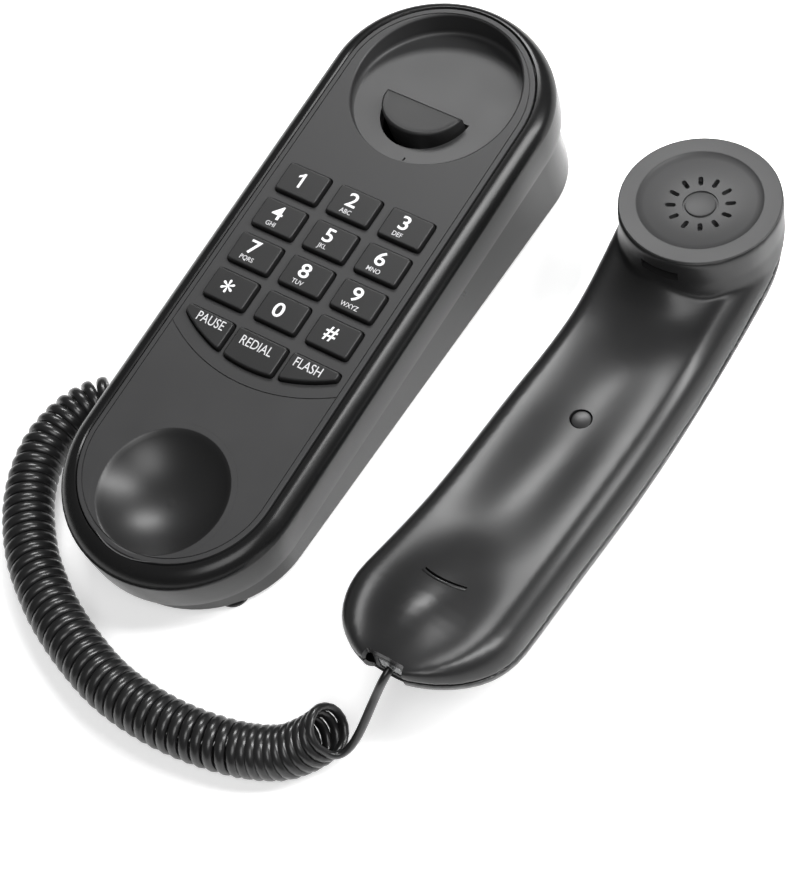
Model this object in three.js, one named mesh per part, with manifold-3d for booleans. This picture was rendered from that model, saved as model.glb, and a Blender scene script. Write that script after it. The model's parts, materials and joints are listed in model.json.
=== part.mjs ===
// A slim corded telephone: a wedge-shaped base with the keypad in its face, a handset lying face-up beside it,
// and the curly cord that joins them. Millimetres, +Z up, +Y towards the earpiece end.
import * as THREE from 'three';
import { mergeVertices } from 'three/addons/utils/BufferGeometryUtils.js';
import Module from 'manifold-3d';

const wasm = await Module();
wasm.setup();

// ---- driving dimensions ------------------------------------------------------------------------------------
const GAP = 0.3; // clearance between pieces that touch on the real phone
const FACE_TILT = THREE.MathUtils.degToRad(5.5); // the face rises towards the earpiece end
const FACE_HEIGHT = 35; // face plane above the table, at the middle of the dial keys
const BASE_AT = { x: -36.3, y: 5.45 }; // where the middle of the dial keys stands
const HANDSET_AT = { x: 46.2, y: -1.85 }; // midway between earpiece and mouthpiece

// Oblong outlines: half-width, then centre and reach of the rounded end towards +Y and towards -Y
const RIM = { w: 34, top: 59, topReach: 29.9, bottom: -68.4, bottomReach: 33 };
const PLATE = { w: 28.67, top: 58.2, topReach: 27.2, bottom: -67.8, bottomReach: 27.8 };

const RIM_Z = -4.6; // widest line of the rim, below the face
const LIP_Z = -15.3; // lower lip of the rim
const PLATE_THICK = 2.3;
const WALL = 2;
const DISH_WALL = 1.5;
const FOOT_HEIGHT = 1.5;

const KEY = { pitchX: 17, pitchY: 12, w: 13.3, d: 9, rise: 1.5, flange: 0.6, flangeThick: 0.8, travel: 1.2 };
const FUNCTION_ROW = { top: -26.5, arcCentreY: 9.2, arcR: 45.3, half: 7.9, gap: 1.9, tip: 24.8 };

const EAR_RECESS = { y: 59.54, r: 24.06, depth: 9 };
const MOUTH_RECESS = { y: -75.97, r: 18.24, depth: 7.5 };
const EAR_SLOPE = EAR_RECESS.depth / (2 * EAR_RECESS.r);
const earFloor = (y) => -EAR_SLOPE * (y - (EAR_RECESS.y - EAR_RECESS.r));

const HOOK = { half: 12.3, straightY: 54, arcY: 43, rise: 4.2, pivotY: 74, pivotZ: -12.6, pinR: 1.05 };
const JACK = { w: 9.4, h: 7, depth: 13, socketW: 6.8, socketH: 4.6 };
const SIDE_PORTS_Z = { jack: 9, switches: 12 }; // heights of the left-wall ports above the table
const JACK_Y = -50; // handset-cord jack, in the left wall
const LINE_JACK_Z = 16; // line jack, in the end wall
const SWITCH_Y = { ringer: 18, mode: 40 };

const CORD_D = 2.5;
const COIL_D = 14.5;

// ---- materials ---------------------------------------------------------------------------------------------
const paint = (color, roughness, metalness = 0) =>
  new THREE.MeshStandardMaterial({ color, roughness, metalness });
const CASE = paint(0x1b1c1e, 0.45);
const FACE = paint(0x232426, 0.5);
const KEYS = paint(0x161718, 0.4);
const SHELL = paint(0x1b1c1e, 0.42);
const RUBBER = paint(0x0d0d0d, 0.85);
const BOARD = paint(0x1f5a38, 0.6);
const STEEL = paint(0xb4b6b8, 0.35, 1);
const BRASS = paint(0xc8a14a, 0.35, 1);
const CLEAR = paint(0xc9cdd0, 0.2);
const CORD = paint(0x141415, 0.5);

// ---- solids ------------------------------------------------------------------------------------------------
function solid(shape) {
  if (!shape.isBufferGeometry) return shape;
  const bare = shape.clone();
  bare.deleteAttribute('normal');
  bare.deleteAttribute('uv');
  const merged = mergeVertices(bare, 1e-4);
  return new wasm.Manifold(new wasm.Mesh({
    numProp: 3,
    vertProperties: new Float32Array(merged.attributes.position.array),
    triVerts: new Uint32Array(merged.index.array),
  }));
}

function geometry(shape) {
  if (shape.isBufferGeometry) return shape;
  const mesh = shape.getMesh();
  const result = new THREE.BufferGeometry();
  result.setAttribute('position', new THREE.BufferAttribute(mesh.vertProperties, mesh.numProp));
  result.setIndex(new THREE.BufferAttribute(mesh.triVerts, 1));
  return result;
}

const join = (...shapes) => shapes.map(solid).reduce((a, b) => a.add(b));
const cut = (shape, ...tools) => tools.map(solid).reduce((a, b) => a.subtract(b), solid(shape));

function add(parent, name, shape, material) {
  const mesh = new THREE.Mesh(geometry(shape), material);
  mesh.name = name;
  parent.add(mesh);
  return mesh;
}

const block = (x0, x1, y0, y1, z0, z1) =>
  new THREE.BoxGeometry(x1 - x0, y1 - y0, z1 - z0).translate((x0 + x1) / 2, (y0 + y1) / 2, (z0 + z1) / 2);

const rod = (r, z0, z1, x = 0, y = 0, sides = 16) =>
  new THREE.CylinderGeometry(r, r, z1 - z0, sides).rotateX(Math.PI / 2).translate(x, y, (z0 + z1) / 2);

const crossRod = (r, x0, x1, y, z, sides = 16) =>
  new THREE.CylinderGeometry(r, r, x1 - x0, sides).rotateZ(Math.PI / 2).translate((x0 + x1) / 2, y, z);

// Closed skin through rings of equal point count, with both end rings filled in
function loft(rings) {
  const n = rings[0].length;
  const positions = rings.flat().flatMap((p) => [p.x, p.y, p.z]);
  const index = [];
  for (let r = 0; r + 1 < rings.length; r++) {
    for (let i = 0; i < n; i++) {
      const a = r * n + i;
      const b = r * n + ((i + 1) % n);
      index.push(a, b, a + n, b, b + n, a + n);
    }
  }
  const last = (rings.length - 1) * n;
  for (let i = 1; i + 1 < n; i++) {
    index.push(0, i + 1, i);
    index.push(last, last + i, last + i + 1);
  }
  const result = new THREE.BufferGeometry();
  result.setAttribute('position', new THREE.Float32BufferAttribute(positions, 3));
  result.setIndex(index);
  return result;
}

// ---- oblong outlines ---------------------------------------------------------------------------------------
const inset = (o, by) => ({
  w: o.w - by,
  top: o.top,
  topReach: o.topReach - by,
  bottom: o.bottom,
  bottomReach: o.bottomReach - by,
});

const between = (a, b, t) =>
  Object.fromEntries(Object.keys(a).map((k) => [k, THREE.MathUtils.lerp(a[k], b[k], t)]));

const END_STEPS = 9;
function ring(o, z) {
  const points = [];
  for (const [y, reach, from] of [[o.top, o.topReach, 0], [o.bottom, o.bottomReach, Math.PI]]) {
    for (let i = 0; i <= END_STEPS; i++) {
      const a = from + (Math.PI * i) / END_STEPS;
      const py = y + reach * Math.sin(a);
      points.push(new THREE.Vector3(o.w * Math.cos(a), py, typeof z === 'function' ? z(py) : z));
    }
  }
  return points;
}

// Height of a level plane above the table, seen from the tilted face frame
const level = (height) => (y) => (height - FACE_HEIGHT - y * Math.sin(FACE_TILT)) / Math.cos(FACE_TILT);

// ---- frames ------------------------------------------------------------------------------------------------
const phone = new THREE.Group();
const table = new THREE.Group();
table.position.set(BASE_AT.x, BASE_AT.y, 0);
const face = new THREE.Group();
face.position.set(BASE_AT.x, BASE_AT.y, FACE_HEIGHT);
face.rotation.x = FACE_TILT;
const handset = new THREE.Group();
handset.position.set(HANDSET_AT.x, HANDSET_AT.y, 0);
phone.add(table, face, handset);

// ---- keys --------------------------------------------------------------------------------------------------
const CAP_DRAFT = 0.5; // how far each side of a key leans in towards its top
const CLEARANCE = 0.35; // key cap to the edge of its window

// Outline of a dial key with cut corners, centred at (x, y); grow widens it all round
const dialOutline = (x, y) => (grow, z) => {
  const [w, d, c] = [KEY.w / 2 + grow, KEY.d / 2 + grow, 0.8];
  const corners = [[w, c - d], [w, d - c], [w - c, d], [c - w, d]];
  corners.push(...corners.map(([px, py]) => [-px, -py]));
  return corners.map(([px, py]) => new THREE.Vector3(x + px, y + py, z));
};

// Outline of a function key: straight top and sides, and a lower edge on the row's arc
const functionOutline = (x0, x1) => (grow, z) => {
  const f = FUNCTION_ROW;
  const [left, right, r] = [x0 - grow, x1 + grow, f.arcR + grow];
  const points = [[right, f.top + grow], [left, f.top + grow]];
  for (let i = 0; i <= 5; i++) {
    const x = THREE.MathUtils.lerp(left, right, i / 5);
    points.push([x, f.arcCentreY - Math.sqrt(r * r - x * x)]);
  }
  return points.map(([px, py]) => new THREE.Vector3(px, py, z));
};

// A key: a flange that the face plate holds down, and a cap that stands through its window
function keyBody(outline) {
  const flangeTop = -PLATE_THICK - GAP;
  const reach = CLEARANCE + KEY.flange;
  return loft([
    outline(reach, flangeTop - KEY.flangeThick),
    outline(reach, flangeTop),
    outline(0, flangeTop),
    outline(0, KEY.rise - CAP_DRAFT),
    outline(-CAP_DRAFT, KEY.rise),
  ]);
}

const keyWindows = [];
function addKey(label, outline) {
  add(face, `key_${label}`, keyBody(outline), KEYS);
  keyWindows.push(loft([outline(CLEARANCE, -4), outline(CLEARANCE, 1)]));
}

const KEY_NAMES = [['1', '2', '3'], ['4', '5', '6'], ['7', '8', '9'], ['star', '0', 'hash']];
const keyPlace = (i, j) => [(i - 1) * KEY.pitchX, (1.5 - j) * KEY.pitchY];
KEY_NAMES.forEach((row, j) => row.forEach((label, i) => addKey(label, dialOutline(...keyPlace(i, j)))));

const fn = FUNCTION_ROW;
const FUNCTION_KEYS = {
  pause: [-fn.tip, -fn.half - fn.gap],
  redial: [-fn.half, fn.half],
  flash: [fn.half + fn.gap, fn.tip],
};
for (const [label, [x0, x1]] of Object.entries(FUNCTION_KEYS)) addKey(label, functionOutline(x0, x1));

// ---- hook switch: a D-shaped button on a lever that swings on a cross pin under the earpiece recess --------
function hookOutline(grow, front) {
  const half = HOOK.half + grow;
  const back = HOOK.straightY + grow;
  const s = new THREE.Shape();
  s.moveTo(half, back);
  s.lineTo(-half, back);
  s.absellipse(0, back, half, back - front, Math.PI, 2 * Math.PI, false);
  return s;
}

const FRONT_ROOM = 2.8; // the button sweeps this way as it goes down
const hookOpening = new THREE.ExtrudeGeometry(hookOutline(0.8, HOOK.arcY - FRONT_ROOM), {
  depth: 20,
  bevelEnabled: false,
  curveSegments: 8,
}).translate(0, 0, -15);

function hookLever() {
  const button = new THREE.ExtrudeGeometry(hookOutline(0, HOOK.arcY), {
    depth: 30,
    bevelEnabled: false,
    curveSegments: 8,
  }).translate(0, 0, -15);
  const above = recessFloorTool(60, HOOK.rise, 30);
  const below = recessFloorTool(60, -6.6, -40);
  const arm = block(-6, 6, 46, HOOK.pivotY, HOOK.pivotZ - 1.2, HOOK.pivotZ + 1.2);
  const stem = block(-6, 6, 46, 50, HOOK.pivotZ - 1.2, -5);
  const hub = crossRod(2.8, -6, 6, HOOK.pivotY, HOOK.pivotZ);
  const bore = crossRod(HOOK.pinR + GAP, -8, 8, HOOK.pivotY, HOOK.pivotZ, 12);
  return cut(join(cut(button, above, below), stem, arm, hub), bore);
}

// A block bounded by a plane parallel to the recess floor, offset by z0, reaching to z0 + toward
function recessFloorTool(half, z0, toward) {
  const shape = block(-half, half, EAR_RECESS.y - half, EAR_RECESS.y + half, 0, 1);
  const p = shape.attributes.position;
  for (let i = 0; i < p.count; i++) {
    const onFloor = p.getZ(i) < 0.5 === toward > 0;
    p.setZ(i, earFloor(p.getY(i)) + z0 + (onFloor ? 0 : toward));
  }
  return shape;
}

add(face, 'hook_switch', hookLever(), KEYS);
add(face, 'hook_pivot_pin', crossRod(HOOK.pinR, -11, 11, HOOK.pivotY, HOOK.pivotZ, 12), STEEL);

// ---- face plate --------------------------------------------------------------------------------------------
function earDish(r, drop) {
  const shape = rod(r, -1, 1, 0, EAR_RECESS.y, 32);
  const p = shape.attributes.position;
  for (let i = 0; i < p.count; i++) {
    p.setZ(i, p.getZ(i) > 0 ? drop.top : Math.min(earFloor(p.getY(i)), 0) + drop.bottom);
  }
  return shape;
}

function mouthBowl(shrink, top) {
  const m = MOUTH_RECESS;
  const sphereR = (m.r * m.r + m.depth * m.depth) / (2 * m.depth);
  const ball = new THREE.SphereGeometry(sphereR + shrink, 28, 14).rotateX(Math.PI / 2)
    .translate(0, m.y, sphereR - m.depth);
  return cut(ball, block(-60, 60, m.y - 60, m.y + 60, top, 60));
}

function facePlate() {
  const lugs = [-1, 1].map((s) => cut(
    block(Math.min(s * 7, s * 10), Math.max(s * 7, s * 10), HOOK.pivotY - 3.5, HOOK.pivotY + 3.5, -15.4, -6),
    crossRod(HOOK.pinR + GAP, -12, 12, HOOK.pivotY, HOOK.pivotZ, 12),
  ));
  const body = join(
    loft([ring(PLATE, -PLATE_THICK), ring(PLATE, -0.5), ring(inset(PLATE, 0.5), 0)]),
    earDish(EAR_RECESS.r + DISH_WALL, { top: -1, bottom: -DISH_WALL - 0.6 }),
    mouthBowl(DISH_WALL, -1),
    ...lugs,
  );
  const slit = block(3.4, 4.6, 35.6, 38, -4, 1);
  const recesses = [earDish(EAR_RECESS.r, { top: 1, bottom: 0 }), mouthBowl(0, 1)];
  return cut(body, ...recesses, hookOpening, slit, ...keyWindows);
}
add(face, 'face_plate', facePlate(), FACE);

// ---- upper case --------------------------------------------------------------------------------------------
function upperCase() {
  const outer = loft([
    ring(inset(RIM, 0.5), LIP_Z),
    ring(inset(RIM, 0.1), LIP_Z + 3),
    ring(RIM, RIM_Z),
    ring(between(RIM, PLATE, 0.2), -2.3),
    ring(between(RIM, PLATE, 0.52), -0.8),
    ring(between(RIM, PLATE, 0.8), 0),
  ]);
  const cavity = loft([
    ring(inset(RIM, 2.7), LIP_Z - 1),
    ring(inset(RIM, 2.7), -7),
    ring(inset(PLATE, 1.6), -4.4),
    ring(inset(PLATE, 1.6), 1),
  ]);
  const seat = loft([ring(inset(PLATE, -GAP), -PLATE_THICK - GAP), ring(inset(PLATE, -GAP), 1)]);
  const dishRoom = rod(EAR_RECESS.r + DISH_WALL + GAP, -14, -1, 0, EAR_RECESS.y, 32);
  const bowlRoom = rod(MOUTH_RECESS.r + DISH_WALL + GAP, -12, -1, 0, MOUTH_RECESS.y, 32);
  return cut(outer, cavity, seat, dishRoom, bowlRoom);
}
add(face, 'upper_case', upperCase(), CASE);

// ---- bottom cover ------------------------------------------------------------------------------------------
const COVER = inset(RIM, 2.7 + GAP); // fits inside the rim's lip
const FLOOR_Z = FOOT_HEIGHT; // underside of the cover above the table
const SCREWS = [[-22, -62], [22, -62], [-22, 52], [22, 52]];
const FEET = [[-20, -82], [20, -82], [-20, 68], [20, 68]];
const KEYHOLES = [-30, 30];

// A piece of the base drawn in the table frame, brought into the face frame
function fromTable(shape) {
  return shape.clone().translate(0, 0, -FACE_HEIGHT).rotateX(-FACE_TILT);
}

function bottomCover() {
  const tub = loft([
    ring(inset(COVER, 1.2), level(FLOOR_Z)),
    ring(COVER, level(FLOOR_Z + 1.6)),
    ring(COVER, -11.8),
  ]);
  const hollow = loft([
    ring(inset(COVER, WALL), level(FLOOR_Z + WALL)),
    ring(inset(COVER, WALL), -11),
  ]);
  const bosses = SCREWS.map(([x, y]) => fromTable(rod(4, FLOOR_Z + 0.5, FLOOR_Z + 6.5, x, y, 12)));
  const tools = [
    ...SCREWS.map(([x, y]) => fromTable(rod(1.9, -2, 20, x, y, 12))),
    ...SCREWS.map(([x, y]) => fromTable(rod(3.2, -2, FLOOR_Z + 4, x, y, 12))),
    ...FEET.map(([x, y]) => fromTable(rod(5.3, -2, FLOOR_Z + 0.8, x, y, 16))),
    ...KEYHOLES.map((y) => fromTable(keyhole(y))),
    fromTable(port([-40, -20], [JACK_Y, JACK.w / 2 + GAP], [SIDE_PORTS_Z.jack, JACK.h / 2 + GAP])),
    fromTable(port([-JACK.w / 2 - GAP, JACK.w / 2 + GAP], [86.5, 8.5], [LINE_JACK_Z, JACK.h / 2 + GAP])),
    ...Object.values(SWITCH_Y).map((y) => fromTable(port([-40, -25], [y, 5], [SIDE_PORTS_Z.switches, 2.2]))),
  ];
  return cut(join(cut(tub, hollow), ...bosses), ...tools);
}

// A rectangular hole: from x0 to x1, and so far each side of a middle y and z
function port([x0, x1], [y, halfY], [z, halfZ]) {
  return block(x0, x1, y - halfY, y + halfY, z - halfZ, z + halfZ);
}

function keyhole(y) {
  const s = new THREE.Shape();
  s.absarc(0, y, 4.5, Math.PI * 0.7, Math.PI * 2.3, false);
  s.absarc(0, y + 9, 2.2, 0, Math.PI, false);
  const hole = new THREE.ExtrudeGeometry(s, { depth: 12, bevelEnabled: false, curveSegments: 6 });
  return hole.translate(0, 0, -4);
}

add(face, 'bottom_cover', bottomCover(), CASE);

SCREWS.forEach(([x, y], i) => {
  const head = rod(2.8, FLOOR_Z + 2.2, FLOOR_Z + 4 - GAP, x, y, 12);
  const screw = join(head, rod(1.5, FLOOR_Z + 3, FLOOR_Z + 12, x, y, 10));
  const slot = block(x - 2, x + 2, y - 0.4, y + 0.4, FLOOR_Z + 2, FLOOR_Z + 2.9);
  add(table, `case_screw_${i + 1}`, cut(screw, slot), STEEL);
});
FEET.forEach(([x, y], i) => {
  const foot = new THREE.CylinderGeometry(5, 4.4, FOOT_HEIGHT + 0.5, 16).rotateX(Math.PI / 2)
    .translate(x, y, (FOOT_HEIGHT + 0.5) / 2);
  add(table, `rubber_foot_${i + 1}`, foot, RUBBER);
});

// ---- inside the base ---------------------------------------------------------------------------------------
const MAT_TOP = -PLATE_THICK - GAP - KEY.flangeThick - KEY.travel - GAP;
const MAT = { x: 26, y0: -37, y1: 25.5, thick: 1 };

function keypadMat() {
  const sheet = block(-MAT.x, MAT.x, MAT.y0, MAT.y1, MAT_TOP - MAT.thick, MAT_TOP - 0.2);
  const pads = KEY_NAMES.flatMap((row, j) => row.map((label, i) => keyPlace(i, j)));
  for (const [x0, x1] of Object.values(FUNCTION_KEYS)) pads.push([(x0 + x1) / 2, -30.5]);
  return join(sheet, ...pads.map(([x, y]) => rod(2.6, MAT_TOP - 0.6, MAT_TOP, x, y, 8)));
}
add(face, 'keypad_mat', keypadMat(), RUBBER);
const KEYPAD_BOARD_TOP = MAT_TOP - MAT.thick - GAP;
add(face, 'keypad_board', block(-25, 25, -38, 26, KEYPAD_BOARD_TOP - 1.2, KEYPAD_BOARD_TOP), BOARD);

function mainBoard() {
  const sheet = block(-26, 26, -46, 34, -14.6, -13);
  const chips = [[-12, -20], [8, -4], [14, 20]].map(([x, y]) => block(x - 5, x + 5, y - 4, y + 4, -13.4, -11));
  return join(sheet, ...chips);
}
add(face, 'main_board', mainBoard(), BOARD);
add(table, 'ringer_disc', join(rod(13.5, 4, 4.6, 0, -78, 24), rod(9, 4.4, 5.2, 0, -78, 20)), BRASS);
add(table, 'ballast_weight', block(-17, 17, -14, 18, 4, 8), STEEL);

const SPRING = { y: 60, height: 7, top: HOOK.pivotZ - 1.2 - GAP - 0.4 };
function springShape() {
  const perTurn = 8;
  const steps = 4 * perTurn;
  const points = [];
  for (let i = 0; i <= steps; i++) {
    const a = (2 * Math.PI * i) / perTurn;
    points.push(new THREE.Vector3(2.6 * Math.cos(a), 2.6 * Math.sin(a), (SPRING.height * i) / steps));
  }
  const wire = new THREE.Shape().absarc(0, 0, 0.35, 0, 2 * Math.PI, false);
  return new THREE.ExtrudeGeometry(wire, {
    steps: steps,
    extrudePath: new THREE.CatmullRomCurve3(points),
    bevelEnabled: false,
    curveSegments: 3,
  });
}
add(face, 'hook_spring', springShape().translate(0, SPRING.y, SPRING.top - SPRING.height), STEEL);

// The lever's end comes down on this switch's nub when the handset is on the hook
const HOOK_SWITCH = { top: -18.8, bodyTop: -20, bottom: -24 };
const microSwitch = join(
  block(-5, 5, 42, 54, HOOK_SWITCH.bottom, HOOK_SWITCH.bodyTop),
  block(-1.2, 1.2, 45, 48, HOOK_SWITCH.bodyTop - 0.2, HOOK_SWITCH.top),
);
add(face, 'hook_microswitch', microSwitch, KEYS);

function hookBracket() {
  const [half, y0, y1] = [8, 41, 65];
  const outline = (z) => [[half, y1], [-half, y1], [-half, y0], [half, y0]]
    .map(([x, y]) => new THREE.Vector3(x, y, typeof z === 'function' ? z(y) : z));
  const top = HOOK_SWITCH.bottom - GAP;
  const body = loft([outline(level(FLOOR_Z + WALL + GAP)), outline(top)]);
  const under = block(-half + 1.8, half - 1.8, y0 + 1.8, y1 - 1.8, -60, top - 1.8);
  const springSeat = block(-4, 4, SPRING.y - 4, SPRING.y + 4, top - 0.4, SPRING.top - SPRING.height - 0.6);
  return join(cut(body, under), springSeat);
}
add(face, 'hook_bracket', hookBracket(), CASE);

function modularJack() {
  const body = block(-JACK.w / 2, JACK.w / 2, 0, JACK.depth, -JACK.h / 2, JACK.h / 2);
  const [halfW, halfH] = [JACK.socketW / 2, JACK.socketH / 2];
  return cut(body, block(-halfW, halfW, -1, JACK.depth - 3, -halfH, halfH));
}
const COVER_LEFT = -COVER.w;
const cordJack = add(table, 'handset_cord_jack', modularJack(), CLEAR);
cordJack.position.set(COVER_LEFT + 0.2, JACK_Y, SIDE_PORTS_Z.jack);
cordJack.rotation.z = -Math.PI / 2;
const lineJack = add(table, 'line_jack', modularJack(), CLEAR);
lineJack.position.set(0, 84.6, LINE_JACK_Z);
lineJack.rotation.z = Math.PI;

// Slide-switch knobs: a thin plate behind the wall and a ribbed finger pad that stands through its slot
function slideKnob(y) {
  const inner = COVER_LEFT + WALL;
  const z = SIDE_PORTS_Z.switches;
  const pad = port([COVER_LEFT - 0.9, inner + 0.6], [y, 2], [z, 1.8]);
  const plate = port([inner + GAP, inner + GAP + 1.2], [y, 9], [z, 3.4]);
  const ridge = [COVER_LEFT - 1.2, COVER_LEFT - 0.7];
  const ribs = [-1.2, 0, 1.2].map((dy) => port(ridge, [y + dy, 0.25], [z, 1.8]));
  return join(pad, plate, ...ribs);
}
add(table, 'ringer_volume_knob', slideKnob(SWITCH_Y.ringer), KEYS);
add(table, 'dial_mode_knob', slideKnob(SWITCH_Y.mode), KEYS);

// ---- handset -----------------------------------------------------------------------------------------------
const HANDSET = { mouthEnd: -86.4, earEnd: 89.2, mouthRound: 26, earRound: 28, ear: 67.75, wall: 2 };
const END_JACK = { mouth: -83, z: 29.5 }; // cord jack in the mouthpiece end
const CUP = { r: 21.8, z: 37.6, tilt: THREE.MathUtils.degToRad(-5.2), capR: 20.6 };

// Smooth curve along the handset's length through a few (y, value) points
function along(...points) {
  const slope = (i) => {
    const a = points[Math.max(i - 1, 0)];
    const b = points[Math.min(i + 1, points.length - 1)];
    return (b[1] - a[1]) / (b[0] - a[0]);
  };
  return (y) => {
    let i = 0;
    while (i < points.length - 2 && points[i + 1][0] < y) i++;
    const [[y0, v0], [y1, v1]] = [points[i], points[i + 1]];
    const h = y1 - y0;
    const t = THREE.MathUtils.clamp((y - y0) / h, 0, 1);
    return v0 * (1 + 2 * t) * (1 - t) ** 2 + v1 * t * t * (3 - 2 * t)
      + h * (slope(i) * t * (1 - t) ** 2 - slope(i + 1) * t * t * (1 - t));
  };
}

// Half-width, height of the line where the halves meet, underside, crest of the side rails, and channel floor
const halfWidth = along([-86.4, 24.6], [-70, 24.6], [-35, 23], [0, 22.8], [35, 21.9], [67.75, 22.8],
  [89.2, 22.4]);
const seamZ = along([-86.4, 33], [-70, 25.3], [-35, 17.6], [0, 13.6], [35, 12.8], [67.75, 22.9], [89.2, 31]);
const backZ = along([-86.4, 22.4], [-70, 13.5], [-35, 3.2], [5, 0.3], [35, 2], [67.75, 7.4], [89.2, 13.6]);
const railZ = along([-86.4, 40], [-70, 34.2], [-35, 26.6], [0, 22.8], [30, 21.8], [50, 26], [67.75, 31],
  [89.2, 34.5]);
const floorZ = along([-86.4, 40], [-70, 38.2], [-58, 34.5], [-38, 26], [-18, 21.9], [4, 20.4], [24, 20.3],
  [38, 24.5], [48, 31], [67.75, 32], [89.2, 34.5]);

// How much of its full section the handset keeps near its rounded ends
function endScale(y) {
  const reach = (d, r) => Math.sqrt(Math.max(0, 1 - (1 - Math.min(1, d / r)) ** 2));
  return reach(y - HANDSET.mouthEnd, HANDSET.mouthRound) * reach(HANDSET.earEnd - y, HANDSET.earRound);
}

const RAIL_AT = 0.7; // the rails' crest, as a share of the half-width
function topZ(y, u) {
  const crest = railZ(y);
  const v = Math.abs(u);
  if (v > RAIL_AT) {
    const t = (v - RAIL_AT) / (1 - RAIL_AT);
    return seamZ(y) + (crest - seamZ(y)) * Math.sqrt(1 - t * t);
  }
  return crest + (floorZ(y) - crest) * (0.5 + 0.5 * Math.cos((Math.PI * v) / RAIL_AT));
}

// Places along the handset where its section is drawn, closer together in the rounded ends
function stations(steps) {
  const h = HANDSET;
  const [from, to] = [h.mouthEnd + h.mouthRound, h.earEnd - h.earRound];
  const roundings = [12, 30, 50, 70].map((a) => Math.cos(THREE.MathUtils.degToRad(a)));
  const straight = [...Array(steps + 1).keys()].map((i) => THREE.MathUtils.lerp(from, to, i / steps));
  return [
    ...roundings.map((c) => from - h.mouthRound * c),
    ...straight,
    ...roundings.reverse().map((c) => to + h.earRound * c),
  ];
}

const ACROSS = 12;
const UP = [...Array(ACROSS + 1).keys()].map((i) => Math.cos((Math.PI * i) / ACROSS));

// Upper or lower half of the handset, shrunk by a wall; seam is where its flat side lies above the seam line
function halfShell(upper, wall, seam) {
  const rings = stations(9).map((y) => {
    const k = endScale(y);
    const kz = k ** 0.7; // the section flattens later than it narrows
    const w = Math.max(halfWidth(y) * k - wall, 1);
    const line = seamZ(y) + seam;
    const points = UP.map((u) => {
      if (upper) {
        const z = seamZ(y) + (topZ(y, u) - seamZ(y)) * kz - wall;
        return new THREE.Vector3(w * u, y, Math.max(z, line + 0.2));
      }
      const s = Math.sin(Math.acos(u));
      const z = seamZ(y) - (seamZ(y) - backZ(y)) * kz * s ** 0.9 + wall;
      return new THREE.Vector3(-w * u, y, Math.min(z, line - 0.2));
    });
    points.push(new THREE.Vector3(upper ? -w : w, y, line), new THREE.Vector3(upper ? w : -w, y, line));
    return points;
  });
  return loft(rings.reverse());
}

const cupFrame = (shape) => shape.clone().rotateX(CUP.tilt).translate(0, HANDSET.ear, CUP.z);
const PLUG_AT = { y: 4.2, r: 2.7 }; // the round cover over the channel screw
const SCREW_TOP = 17.6;

// Everything below the line where the two halves of the handset meet
function belowSeam() {
  const rings = [];
  for (let y = 100; y >= 40; y -= 10) {
    const z = seamZ(Math.min(y, HANDSET.earEnd)) + GAP / 2;
    rings.push([[30, z], [-30, z], [-30, -10], [30, -10]].map(([x, pz]) => new THREE.Vector3(x, y, pz)));
  }
  return loft(rings);
}

function frontShell() {
  const cup = join(
    cupFrame(rod(CUP.r, -13, -0.8, 0, 0, 32)),
    cupFrame(new THREE.CylinderGeometry(CUP.r - 0.7, CUP.r, 0.8, 32).rotateX(Math.PI / 2)
      .translate(0, 0, -0.4)),
  );
  const body = join(halfShell(true, 0, GAP / 2), cut(cup, belowSeam()));
  const hollow = halfShell(true, HANDSET.wall, -2);
  return cut(
    body,
    cut(hollow, block(-30, 30, 43, 95, 0, 60)),
    cupFrame(rod(CUP.capR + GAP, -3.5, 3, 0, 0, 32)),
    cupFrame(rod(17.5, -40, 1, 0, 0, 28)),
    block(-6, 6, -57.6, -56.4, 24, 45),
    block(-5.5, 5.5, 40, 49, 32.4, 35.4),
    rod(PLUG_AT.r + GAP, SCREW_TOP + 0.5, 30, 0, PLUG_AT.y, 16),
    rod(1.9, 5, 30, 0, PLUG_AT.y, 12),
    endJackSpace(),
  );
}

const endJackSpace = () =>
  block(-JACK.w / 2 - GAP, JACK.w / 2 + GAP, -95, END_JACK.mouth + JACK.depth + GAP,
    END_JACK.z - JACK.h / 2 - GAP, END_JACK.z + JACK.h / 2 + GAP);

function backShell() {
  const boss = rod(3.6, 1.5, SCREW_TOP - 4.2, 0, PLUG_AT.y, 14);
  const body = join(cut(halfShell(false, 0, -GAP / 2), halfShell(false, HANDSET.wall, 2)), boss);
  return cut(body, rod(1.5, 3, 30, 0, PLUG_AT.y, 12), endJackSpace());
}

add(handset, 'handset_front_shell', frontShell(), SHELL);
add(handset, 'handset_back_shell', backShell(), SHELL);

// Ear cap: a shallow dish with a centre ring and twelve sound slots
const EAR_CAP = { thick: 2.2, dishR: 16.7, dishDepth: 1.6, ringR: 4.3, slotR: 7.8, slots: 12 };
function earCap() {
  const e = EAR_CAP;
  const profile = [[0, -e.thick - 1], [CUP.capR, -e.thick - 1], [CUP.capR, -0.4], [CUP.capR - 0.4, 0],
    [e.dishR, 0], [e.dishR - 2.5, -e.dishDepth * 0.6], [e.dishR - 6, -e.dishDepth], [0, -e.dishDepth]];
  const disc = new THREE.LatheGeometry(profile.map((p) => new THREE.Vector2(...p)), 32).rotateX(Math.PI / 2);
  const slots = [];
  for (let i = 0; i < e.slots; i++) {
    const a = (2 * Math.PI * i) / e.slots;
    slots.push(block(-1.2, 1.2, -0.5, 0.5, -6, 2).translate(e.slotR, 0, 0).rotateZ(a));
  }
  return cut(disc, ...slots);
}
add(handset, 'ear_cap', cupFrame(geometry(earCap())), FACE);
const receiver = join(rod(16.5, -8.5, -3.7, 0, 0, 28), rod(12, -12.5, -8, 0, 0, 24));
add(handset, 'receiver_capsule', cupFrame(geometry(receiver)), STEEL);
add(handset, 'microphone_capsule', rod(4.8, 24, 29.5, 0, -62, 18), STEEL);
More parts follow.
